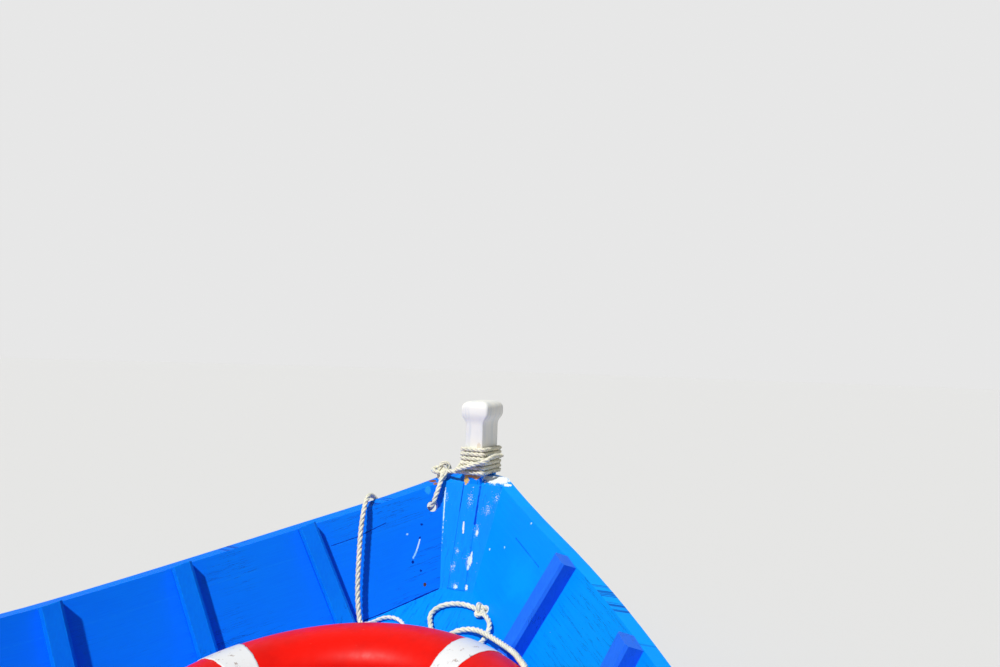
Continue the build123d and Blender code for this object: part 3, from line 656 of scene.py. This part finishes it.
def bottom_rise(station):
    """Height of the inner face of the bottom, close beside the centreline."""
    start = Vector((beside_middle, stem_place - station, well_above))
    return bottom_skin.ray_cast(start, Vector((0, 0, -1)))[0].z


def sheer_height(station):
    """Height of the sheer, read from its marks."""
    place = stem_place - station
    for (y1, z1), (y2, z2) in zip(sheer_marks, sheer_marks[1:]):
        if place <= y2:
            return z1 + (z2 - z1) * (place - y1) / (y2 - y1)
    return sheer_marks[-1][1]


def moved_frame(source, name, first, second, is_rib):
    """Copy of a frame's timber, moved along the boat and fitted to the skin there."""
    mesh = nodes[source].data.copy()
    mesh.name = name
    piece = placed(name, mesh)
    wider = skin_breadth(second) - skin_breadth(first)
    low_1, low_2 = bottom_rise(first), bottom_rise(second)
    top_1, top_2 = sheer_height(first), sheer_height(second)
    for vertex in mesh.vertices:
        x, y, z = vertex.co
        side = 1 if x > 0 else -1
        if is_rib:
            z_new = low_2 + (z - low_1) * (top_2 - low_2) / (top_1 - low_1)
            x_new = x + side * (wider + flare_lean * (z_new - z))
        else:
            z_new = z + low_2 - low_1
            x_new = x * (1 + (wider + flare_lean * (low_2 - low_1)) / skin_breadth(first))
        vertex.co = (x_new, y + first - second, z_new)
    chosen(piece)
    bpy.ops.object.mode_set(mode="EDIT")
    bpy.ops.mesh.select_all(action="SELECT")
    bpy.ops.mesh.remove_doubles(threshold=same_corner)
    bpy.ops.object.mode_set(mode="OBJECT")
    return piece


for step in range(1, frame_last + 1):
    station = frame_first + frame_spacing * step
    if any(abs(station - solid) < same_place for solid in solid_frames.values()):
        continue
    number, nearest = min(solid_frames.items(), key=lambda pair: abs(pair[1] - station))
    for hand in ("port", "starboard"):
        source = f"rib_{number:02d}_{hand}"
        rib = moved_frame(source, f"rib_between_{step:02d}_{hand}", nearest, station, True)
        painted(rib, frame_blue if hand == "port" else shaded_blue)
        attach(rib, "hull")
    source = f"floor_timber_{number:02d}"
    timber = moved_frame(source, f"floor_between_{step:02d}", nearest, station, False)
    painted(timber, floor_blue)
    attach(timber, "hull")

# Thwarts, rowlock blocks and tiller: planed pine and ash, oiled and gone grey-brown. The
# thwarts rest on the risers, and the blocks stand between two frames, level with the sheer.
timber_light = (0.50, 0.33, 0.18)
timber_dark = (0.28, 0.16, 0.08)
pore_dark = (0.12, 0.07, 0.04)


def oiled_wood(name, stretch):
    """Planed and oiled wood with darker growth lines along one axis."""
    material, tree, shader = new_finish(name)
    spot = as_placed(tree)
    rings = cloud(tree, spot, stretch, 7.0, 0.6, 0.8)
    pores = cloud(tree, spot, tuple(s * 7 for s in stretch), 3.0, 0.6)
    colour = blended(tree, between(tree, rings, 0.38, 0.62), timber_light, timber_dark)
    opened = sums(tree, "MULTIPLY", between(tree, pores, 0.55, 0.7), 0.35)
    colour = blended(tree, opened, colour, pore_dark)
    height = sums(tree, "MULTIPLY_ADD", pores, -0.5, rings)
    rough = sums(tree, "MULTIPLY_ADD", pores, 0.25, 0.38)
    surfaced(tree, shader, colour, rough, height, 0.3, 0.0008)
    return material


thwart_wood = oiled_wood("thwart_wood", (2.2, 26, 26))
long_wood = oiled_wood("long_wood", (30, 3, 30))
dress(thwart_wood, *[name for name in nodes if name.startswith("thwart")])
dress(long_wood, "tiller", "rowlock_block_port", "rowlock_block_starboard")

# Rudder: one plank hung on the transom by two pintles, sawn to shape and painted white
# like the post, with the tiller's slot through its head.
rudder_white = brushed_paint(
    "rudder_white", post_white, post_shade, (0.25, 0.26, 0.26), stretch=(50, 30, 5),
    chips=(0.70, 0.62), arris=(0.62, 0.60, 0.55), wear=0.5,
)
dress(rudder_white, "rudder")

# Rudder irons: two pintles on the rudder and two gudgeons on the transom, forged,
# hot-dip galvanised, dull and spangled.
zinc_dull = (0.42, 0.44, 0.46)
zinc_bright = (0.62, 0.64, 0.66)
iron, iron_tree, iron_shader = new_finish("galvanised_iron")
spangle = add_node(iron_tree, "TexVoronoi", {"Vector": as_placed(iron_tree), "Scale": 140.0})
pits = cloud(iron_tree, as_placed(iron_tree), (60, 60, 60), 6.0, 0.6)
iron_tone = sums(iron_tree, "MULTIPLY_ADD", spangle.outputs["Distance"], 0.5, pits)
bright_share = between(iron_tree, iron_tone, 0.4, 1.0)
iron_colour = blended(iron_tree, bright_share, zinc_dull, zinc_bright)
iron_rough = sums(iron_tree, "MULTIPLY_ADD", pits, 0.4, 0.22)
surfaced(iron_tree, iron_shader, iron_colour, iron_rough, pits, 0.2, 0.0006, metal=0.85)
dress(iron, "gudgeon_lower", "gudgeon_upper", "pintle_lower", "pintle_upper")

# Mooring line: 12 mm three-strand laid rope, weathered cream. It leaves the knot at the
# winding, goes out through the hole in the port bow, back over the sheer and down inside.
rope_diameter = 0.012
rope_lay = 3.3
rope_spacing = 0.22
rope_smooth = 60
same_ring = 0.00005
strand_share = 0.262
line_steps = 12
knot_place = (-0.0872, 2.8738, 0.4630)
painter_route = [
    knot_place, (-0.076, 2.853, 0.459), (-0.078, 2.839, 0.431), (-0.081, 2.827, 0.409),
    (-0.086, 2.823, 0.386), (-0.106, 2.847, 0.372), (-0.125, 2.850, 0.363),
    (-0.156, 2.825, 0.356), (-0.184, 2.801, 0.361), (-0.208, 2.786, 0.380),
    (-0.222, 2.770, 0.407), (-0.216, 2.736, 0.411), (-0.208, 2.708, 0.384),
    (-0.202, 2.688, 0.338), (-0.193, 2.671, 0.284), (-0.185, 2.656, 0.236),
    (-0.174, 2.643, 0.186), (-0.160, 2.634, 0.146), (-0.122, 2.606, 0.133),
    (-0.066, 2.595, 0.129), (-0.004, 2.600, 0.131), (0.018, 2.636, 0.144),
    (-0.004, 2.668, 0.157), (-0.026, 2.702, 0.173), (-0.010, 2.732, 0.187),
    (0.032, 2.744, 0.193), (0.074, 2.736, 0.190), (0.106, 2.716, 0.184),
    (0.127, 2.690, 0.175), (0.126, 2.656, 0.152), (0.100, 2.624, 0.138),
    (0.062, 2.618, 0.136), (0.038, 2.644, 0.147), (0.056, 2.674, 0.160),
    (0.100, 2.672, 0.170), (0.146, 2.640, 0.172), (0.196, 2.594, 0.177),
    (0.236, 2.542, 0.188), (0.266, 2.486, 0.200), (0.299, 2.428, 0.212),
    (0.326, 2.362, 0.208), (0.343, 2.298, 0.200), (0.351, 2.238, 0.192),
    (0.352, 2.186, 0.1855),
]


def smooth_line(name, route, closed=False):
    """Points along the NURBS line that has the route's points as its control points."""
    curve = bpy.data.curves.new(name, "CURVE")
    curve.dimensions = "3D"
    spline = curve.splines.new("NURBS")
    spline.points.add(len(route) - 1)
    for point, place in zip(spline.points, route):
        point.co = (*place, 1)
    spline.order_u = 3
    if closed:
        spline.use_cyclic_u = True
    else:
        spline.use_endpoint_u = True
    spline.resolution_u = line_steps
    holder = placed(name, curve)
    graph = bpy.context.evaluated_depsgraph_get()
    mesh = bpy.data.meshes.new_from_object(holder.evaluated_get(graph))
    line = [v.co.copy() for v in mesh.vertices]
    bpy.data.objects.remove(holder)
    bpy.data.meshes.remove(mesh)
    return line


def even_points(line, spacing):
    """Points an even distance apart along a line, with the line's direction at each."""
    runs = [(b - a).length for a, b in zip(line, line[1:])]
    total = sum(runs)
    steps = max(2, ceil(total / spacing))
    made, run, before = [], 0, 0.0
    for step in range(steps + 1):
        goal = min(total * step / steps, total - 1e-9)
        while before + runs[run] < goal:
            before += runs[run]
            run += 1
        share = (goal - before) / runs[run]
        made.append(line[run].lerp(line[run + 1], share))
    return made, total


def laid_rope(name, line, diameter, lay=rope_lay, sides=8, closed=False):
    """Three-strand rope along a line: three round strands twisted about each other."""
    if closed:
        line = line + [line[0]]
    spots, total = even_points(line, diameter * rope_spacing)
    count = len(spots)
    strand = diameter * strand_share
    offset = diameter / 2 - strand
    turns = total / (lay * diameter)
    if closed:
        turns = round(turns * 3) / 3
    across = None
    frames = []
    for i, spot in enumerate(spots):
        before = spots[i - 1] if i else (spots[-2] if closed else spot)
        after = spots[i + 1] if i < count - 1 else (spots[1] if closed else spot)
        ahead = (after - before).normalized()
        if across is None:
            across = ahead.orthogonal().normalized()
        across = (across - ahead * across.dot(ahead)).normalized()
        frames.append((ahead, across.copy(), ahead.cross(across)))
    drift = 0.0
    if closed:
        first, last = frames[0], frames[-1]
        drift = atan2(last[1].dot(first[2]), last[1].dot(first[1]))
    points, faces, lays = [], [], []
    for part in range(3):
        first = len(points)
        for i, (spot, (ahead, side, up)) in enumerate(zip(spots, frames)):
            share = i / (count - 1)
            angle = 2 * pi * (part / 3 + turns * share) - drift * share
            out = side * cos(angle) + up * sin(angle)
            middle = spot + out * offset
            slope = 2 * pi * offset / (lay * diameter)
            lead = (ahead + out.cross(ahead) * -slope).normalized()
            third = lead.cross(out)
            for j in range(sides):
                turn = 2 * pi * j / sides
                points.append(middle + (out * cos(turn) + third * sin(turn)) * strand)
        for i in range(count - 1):
            for j in range(sides):
                k = (j + 1) % sides
                a, b = first + i * sides, first + (i + 1) * sides
                faces.append((a + j, b + j, b + k, a + k))
                u1, u2 = (total * n / (count - 1) / diameter for n in (i, i + 1))
                v1, v2 = j / sides, (j + 1) / sides
                lays += [(u1, v1), (u2, v1), (u2, v2), (u1, v2)]
        if not closed:
            end = first + (count - 1) * sides
            faces.append(tuple(first + j for j in range(sides)))
            faces.append(tuple(end + j for j in reversed(range(sides))))
            lays += [(0, 0)] * (2 * sides)
    mesh = bpy.data.meshes.new(name)
    mesh.from_pydata(points, [], faces)
    layer = mesh.uv_layers.new(name="lay")
    for loop, place in zip(layer.data, lays):
        loop.uv = place
    piece = chosen(placed(name, mesh))
    bpy.ops.object.mode_set(mode="EDIT")
    bpy.ops.mesh.select_all(action="SELECT")
    if closed:
        bpy.ops.mesh.remove_doubles(threshold=same_ring)
        bpy.ops.mesh.select_all(action="SELECT")
    bpy.ops.mesh.normals_make_consistent(inside=False)
    bpy.ops.object.mode_set(mode="OBJECT")
    bpy.ops.object.shade_smooth_by_angle(angle=radians(rope_smooth))
    return piece


yarn_step = 9.0
yarn_slant = 25.13
dirt_grain = (35, 35, 35)
fuzz_grain = (900, 900, 900)


def rope_fibre(name, light, shade, stains=()):
    """Twisted fibre: yarn lines across each strand, dirt in the lay, frayed roughness."""
    material, tree, shader = new_finish(name)
    lay = add_node(tree, "UVMap", uv_map="lay").outputs[0]
    split = add_node(tree, "SeparateXYZ", {0: lay})
    round_strand = sums(tree, "MULTIPLY", split.outputs["Y"], yarn_slant)
    phase = sums(tree, "MULTIPLY_ADD", split.outputs["X"], yarn_step, round_strand)
    yarn = sums(tree, "MULTIPLY_ADD", sums(tree, "SINE", phase), 0.5, 0.5)
    spot = as_placed(tree)
    dirt = cloud(tree, spot, dirt_grain, 4.0, 0.6)
    fuzz = cloud(tree, spot, fuzz_grain, 3.0, 0.7)
    tone = sums(tree, "MULTIPLY_ADD", dirt, 0.7, sums(tree, "MULTIPLY", yarn, -0.18))
    tone = sums(tree, "MULTIPLY_ADD", fuzz, 0.4, tone)
    colour = blended(tree, between(tree, tone, 0.30, 0.78), light, shade)
    for centre, size, ragged, paint in stains:
        stain = sums(tree, "MULTIPLY", patch(tree, centre, size, ragged), 0.8)
        colour = blended(tree, stain, colour, paint)
    height = sums(tree, "MULTIPLY_ADD", fuzz, 0.6, yarn)
    surfaced(tree, shader, colour, 0.9, height, 0.55, 0.0007, 0.15)
    return material


fibre_light = (0.93, 0.89, 0.72)
fibre_shade = (0.58, 0.60, 0.49)
rope_cream = rope_fibre("rope_cream", fibre_light, fibre_shade)
painter_line = smooth_line("painter_line", painter_route)
painter = laid_rope("mooring_line", painter_line, rope_diameter)
painter.data.materials.append(rope_cream)
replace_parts(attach(painter, "hull"), "painter")

# Whipping on the mooring line's end: fine tarred twine, wound tightly for 20 mm so that
# the three strands can't come apart.
whip_long = 0.020
whip_radius = 0.0062
whip_turns = 9
whip_swell = 0.0004
whip_sides = 20
whip_spacing = 0.001
whip_smooth = 50


def whipping(name, line):
    """Tight turns of twine round the last stretch of a rope."""
    spots, total = even_points(line, whip_spacing)
    last = spots[-int(whip_long / whip_spacing) - 1:]
    axis = (last[-1] - last[0]).normalized()
    side = axis.orthogonal().normalized()
    up = axis.cross(side)
    outline = [
        side * cos(2 * pi * j / whip_sides) + up * sin(2 * pi * j / whip_sides)
        for j in range(whip_sides)
    ]
    steps = whip_turns * 4
    points, faces = [], []
    for i in range(steps + 1):
        share = i / steps
        middle = last[0].lerp(last[-1], share)
        radius = whip_radius + whip_swell * sin(share * whip_turns * 2 * pi)
        points += [middle + out * radius for out in outline]
    for i in range(steps):
        low, high = i * whip_sides, (i + 1) * whip_sides
        for j in range(whip_sides):
            k = (j + 1) % whip_sides
            faces.append((low + j, low + k, high + k, high + j))
    faces.append(tuple(reversed(range(whip_sides))))
    faces.append(tuple(steps * whip_sides + j for j in range(whip_sides)))
    mesh = bpy.data.meshes.new(name)
    mesh.from_pydata(points, [], faces)
    piece = chosen(placed(name, mesh))
    bpy.ops.object.shade_smooth_by_angle(angle=radians(whip_smooth))
    return piece


twine, twine_tree, twine_shader = new_finish("tarred_twine")
twine_fuzz = cloud(twine_tree, as_placed(twine_tree), (700, 700, 700), 3.0, 0.6)
twine_colour = blended(twine_tree, twine_fuzz, (0.10, 0.07, 0.05), (0.26, 0.20, 0.14))
fed(twine_tree, twine_shader, {"Base Color": twine_colour, "Roughness": 0.8})
end_whipping = whipping("mooring_line_whipping", painter_line)
end_whipping.data.materials.append(twine)
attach(end_whipping, "hull")

# Strop: a shorter piece of the same rope, wound six times round the neck of the post.
# Its tail crosses over the turns and its other end goes to the knot beside the post.
strop_diameter = 0.011
strop_foot = 0.4685
strop_pitch = 0.0111
whole_laps = 5
rope_off_post = 0.0059
strop_side = 0.0225 + rope_off_post
strop_fore = 2.96075 + rope_off_post
strop_aft = 2.86075 - rope_off_post
corner_ease = 0.006
strop_fall = 0.004
tail_route = [
    (0.0500, 2.9250, 0.5060), (0.0460, 2.9080, 0.5070), (0.0440, 2.8850, 0.5080),
    (0.0430, 2.8600, 0.5050), (0.0360, 2.8460, 0.4990), (0.0180, 2.8430, 0.4920),
    (-0.0040, 2.8430, 0.4850), (-0.0250, 2.8440, 0.4775), (-0.0385, 2.8480, 0.4730),
    (-0.0410, 2.8620, 0.4730), (-0.0408, 2.8900, 0.4880), (-0.0408, 2.9200, 0.5080),
    (-0.0400, 2.9450, 0.5260), (-0.0360, 2.9640, 0.5370),
]
loop_plan = [
    (-strop_side, strop_fore - corner_ease, 0.0), (-strop_side, strop_fore, 0.0),
    (-strop_side + corner_ease, strop_fore, 0.0), (strop_side - corner_ease, strop_fore, 0.0),
    (strop_side, strop_fore, 0.0), (strop_side, strop_fore - corner_ease, 0.0),
    (strop_side, strop_aft + corner_ease, 0.0), (strop_side, strop_aft, 0.0),
    (strop_side - corner_ease, strop_aft, 0.0), (-strop_side + corner_ease, strop_aft, 0.0),
    (-strop_side, strop_aft, 0.0), (-strop_side, strop_aft + corner_ease, 0.1),
]
strop_route = list(tail_route)
for turn in range(whole_laps):
    for place, (x, y, fall) in enumerate(loop_plan):
        if turn == 0 and place < 2:
            continue
        level = strop_foot + strop_pitch * (whole_laps - turn - fall)
        level -= strop_fall * (y - strop_aft) / (strop_fore - strop_aft)
        strop_route.append((x, y, level))
for x, y, fall in loop_plan[:9]:
    level = strop_foot - strop_fall * (y - strop_aft) / (strop_fore - strop_aft)
    strop_route.append((x, y, level))
strop_route += [
    (-0.010, 2.8548, 0.4680), (-0.024, 2.8550, 0.4680), (-0.050, 2.8560, 0.4670),
    (-0.070, 2.8640, 0.4650), knot_place,
]
strop_line = smooth_line("strop_line", strop_route)
strop = laid_rope("neck_strop", strop_line, strop_diameter)
strop.data.materials.append(rope_cream)
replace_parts(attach(strop, "hull"), "strop_turns", "strop_lead")

# Knots: the one that joins the strop and the mooring line beside the post, one of its
# loops stained blue by fresh paint, and the one left in the slack on the bow's floor.
pulled_diameter = 0.0105
knot_steps = 36
knot_deep = 1.15
knot_blue = rope_fibre(
    "knot_rope", fibre_light, fibre_shade,
    [((-0.114, 2.870, 0.456), (0.014, 0.02, 0.014), 150, (0.01, 0.22, 0.75))],
)


def knot(name, middle, facing, size, roll, diameter):
    """Three-lobed overhand knot of laid rope, pulled tight, facing a direction."""
    turn = Vector(facing).to_track_quat("Z", "Y").to_matrix()
    turn = turn @ Matrix.Rotation(radians(roll), 3, "Z")
    route = []
    for step in range(knot_steps):
        t = 2 * pi * step / knot_steps
        deep = -knot_deep * sin(3 * t)
        lobe = Vector((sin(t) + 2 * sin(2 * t), cos(t) - 2 * cos(2 * t), deep))
        route.append(Vector(middle) + turn @ (lobe * size))
    return laid_rope(name, smooth_line(name + "_line", route, True), diameter, closed=True)


bow_knot = knot(
    "joining_knot", (-0.0880, 2.8700, 0.4640), (0.15, -0.85, 0.55), 0.0072, 20, rope_diameter,
)
bow_knot.data.materials.append(knot_blue)
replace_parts(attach(bow_knot, "hull"), "bow_knot")
floor_knot = knot(
    "slack_knot", (0.0880, 2.7290, 0.1900), (0.45, -0.60, 0.65), 0.0048, 75, pulled_diameter,
)
floor_knot.data.materials.append(rope_cream)
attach(floor_knot, "hull")

# Lifebuoy: a moulded ring of hard red foam, oval in section, lying on the floor timbers
# with four bands of reflecting tape that are scuffed and torn at their edges.
ring_place = Vector((0.054, 2.19275, 0.12625))
ring_tilt = 7.325
ring_middle = 0.300
ring_wide = 0.075
ring_high = 0.052
ring_steps = 180
ring_sides = 40
tape_wide = 0.050
tape_thick = 0.0013
tape_wall = 0.0012
tape_turn = 68.0
ring_turn = Matrix.Translation(ring_place) @ Matrix.Rotation(radians(ring_tilt), 4, "X")


def ring_torus(name, extra):
    """Ring of oval section lying in its place, its surface raised by extra."""
    bpy.ops.object.select_all(action="DESELECT")
    bpy.ops.mesh.primitive_torus_add(
        major_segments=ring_steps, minor_segments=ring_sides,
        major_radius=ring_middle, minor_radius=ring_wide + extra,
    )
    made = bpy.context.active_object
    made.name = name
    made.data.name = name
    bpy.ops.object.mode_set(mode="EDIT")
    bpy.ops.mesh.select_all(action="SELECT")
    bpy.ops.transform.resize(value=(1, 1, (ring_high + extra) / (ring_wide + extra)))
    bpy.ops.object.mode_set(mode="OBJECT")
    made.matrix_world = ring_turn
    bpy.ops.object.transform_apply(location=True, rotation=True, scale=True)
    bpy.ops.object.shade_smooth()
    return made


ring = ring_torus("ring", 0.0)
foam_red = (0.90, 0.006, 0.001)
foam_deep = (0.70, 0.004, 0.001)
foam_pale = (0.80, 0.12, 0.07)
shell, shell_tree, shell_shader = new_finish("ring_shell")
shell_spot = as_placed(shell_tree)
fade = cloud(shell_tree, shell_spot, (6, 6, 6), 4.0, 0.6)
scuff = cloud(shell_tree, shell_spot, (70, 25, 70), 6.0, 0.65)
dent = cloud(shell_tree, shell_spot, (28, 28, 28), 3.0, 0.5)
shell_colour = blended(shell_tree, between(shell_tree, fade, 0.35, 0.65), foam_red, foam_deep)
shell_colour = blended(shell_tree, between(shell_tree, scuff, 0.68, 0.74), shell_colour, foam_pale)
shell_rough = sums(shell_tree, "MULTIPLY_ADD", scuff, 0.35, 0.24)
shell_height = sums(shell_tree, "MULTIPLY_ADD", scuff, 0.3, dent)
surfaced(shell_tree, shell_shader, shell_colour, shell_rough, shell_height, 0.25, 0.0015, 0.14)
ring.data.materials.append(shell)
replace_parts(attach(ring, "hull"), "lifebuoy")

tape_silver = (0.80, 0.81, 0.81)
tape_scuffed = (0.42, 0.36, 0.33)
tape, tape_tree, tape_shader = new_finish("reflecting_tape")
tape_spot = as_placed(tape_tree)
wear = cloud(tape_tree, tape_spot, (60, 60, 60), 6.0, 0.7)
weave = add_node(tape_tree, "TexVoronoi", {"Vector": tape_spot, "Scale": 420.0}).outputs["Distance"]
tape_colour = blended(tape_tree, between(tape_tree, wear, 0.58, 0.66), tape_silver, tape_scuffed)
surfaced(tape_tree, tape_shader, tape_colour, 0.38, weave, 0.3, 0.0004)
ring_inside = ring_turn.inverted()
tape_half = tape_wide / 2 / ring_middle
tape_spare = 0.004
frayed_from = 0.8
fray_coarse = (160, 0.05)
fray_fine = (420, 0.03)


def turn_from(place, middle):
    """Angle round the ring from the middle of a tape, between minus pi and pi."""
    return (atan2(place.y, place.x) - middle + pi) % (2 * pi) - pi


for quarter in range(4):
    band = ring_torus(f"tape_{quarter + 1}", tape_thick)
    middle = radians(tape_turn + 90 * quarter)
    bpy.context.tool_settings.mesh_select_mode = (False, False, True)
    bpy.ops.object.mode_set(mode="EDIT")
    bpy.ops.mesh.select_all(action="DESELECT")
    bpy.ops.object.mode_set(mode="OBJECT")
    for face in band.data.polygons:
        turn = turn_from(ring_inside @ face.center, middle)
        face.select = abs(turn) > tape_half + tape_spare
    bpy.ops.object.mode_set(mode="EDIT")
    bpy.ops.mesh.delete(type="FACE")
    bpy.ops.mesh.select_all(action="SELECT")
    bpy.ops.mesh.subdivide(number_cuts=2)
    bpy.ops.object.mode_set(mode="OBJECT")
    for vertex in band.data.vertices:
        place = ring_inside @ vertex.co
        share = turn_from(place, middle) / tape_half
        torn = sum(noise.noise(vertex.co * fine) * deep for fine, deep in (fray_coarse, fray_fine))
        if abs(share) > frayed_from:
            share += torn if share > 0 else -torn
        angle = middle + share * tape_half
        reach = sqrt(place.x ** 2 + place.y ** 2)
        vertex.co = ring_turn @ Vector((reach * cos(angle), reach * sin(angle), place.z))
    wall = band.modifiers.new("wall", "SOLIDIFY")
    wall.thickness = tape_wall
    wall.offset = -1
    bpy.ops.object.modifier_apply(modifier="wall")
    band.data.materials.append(tape)
    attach(band, "hull")

# Grab line: 9 mm line held under the four tapes, slack between them. One span is pulled
# out into a bight on the floor of the bow.
grab_diameter = 0.009
ring_outer = 0.375
grab_seat = 0.0072
# Points of a span: degrees from the tape, how far out of the ring, height over it.
slack_span = [
    (0, grab_seat, 0), (13, 0.016, -0.005), (30, 0.024, -0.016), (45, 0.028, -0.021),
    (60, 0.024, -0.016), (77, 0.016, -0.005), (90, grab_seat, 0),
]
starboard_bow_span = [
    (0, grab_seat, 0), (13, 0.013, -0.003), (30, 0.016, -0.006), (45, 0.017, -0.007),
    (60, 0.016, -0.006), (77, 0.013, -0.003), (90, grab_seat, 0),
]
port_bow_span = [
    (0, grab_seat, 0), (12, 0.015, -0.004), (22, 0.019, -0.006), (31, 0.028, -0.009),
    (38.5, 0.055, -0.014), (42.5, 0.095, -0.024), (44.8, 0.125, -0.0345),
    (47.6, 0.139, -0.0285), (50.6, 0.135, -0.0275), (53, 0.1175, -0.030),
    (54.5, 0.085, -0.027), (59, 0.042, -0.020), (67, 0.020, -0.012), (78, 0.014, -0.005),
    (90, grab_seat, 0),
]
# Name, angle where the span starts, the way it goes, its points and its length.
grab_spans = [
    ("port_bow", tape_turn + 90, -1, port_bow_span, 0.749),
    ("port_quarter", tape_turn + 90, 1, slack_span, 0.61),
    ("starboard_quarter", tape_turn + 180, 1, slack_span, 0.61),
    ("starboard_bow", tape_turn + 270, 1, starboard_bow_span, 0.60),
]
grab_fibre = rope_fibre("grab_fibre", (0.90, 0.89, 0.84), (0.70, 0.68, 0.62))
for hand, start, way, span, length in grab_spans:
    route = []
    for turn, out, height in span:
        angle = radians(start + way * turn)
        reach = ring_outer + out
        route.append(ring_turn @ Vector((reach * cos(angle), reach * sin(angle), height)))
    line = smooth_line(f"grab_{hand}_line", route)
    grab = laid_rope(f"grab_{hand}", line, grab_diameter, lay=4.0)
    grab.data.materials.append(grab_fibre)
    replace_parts(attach(grab, "hull"), "grab_line")
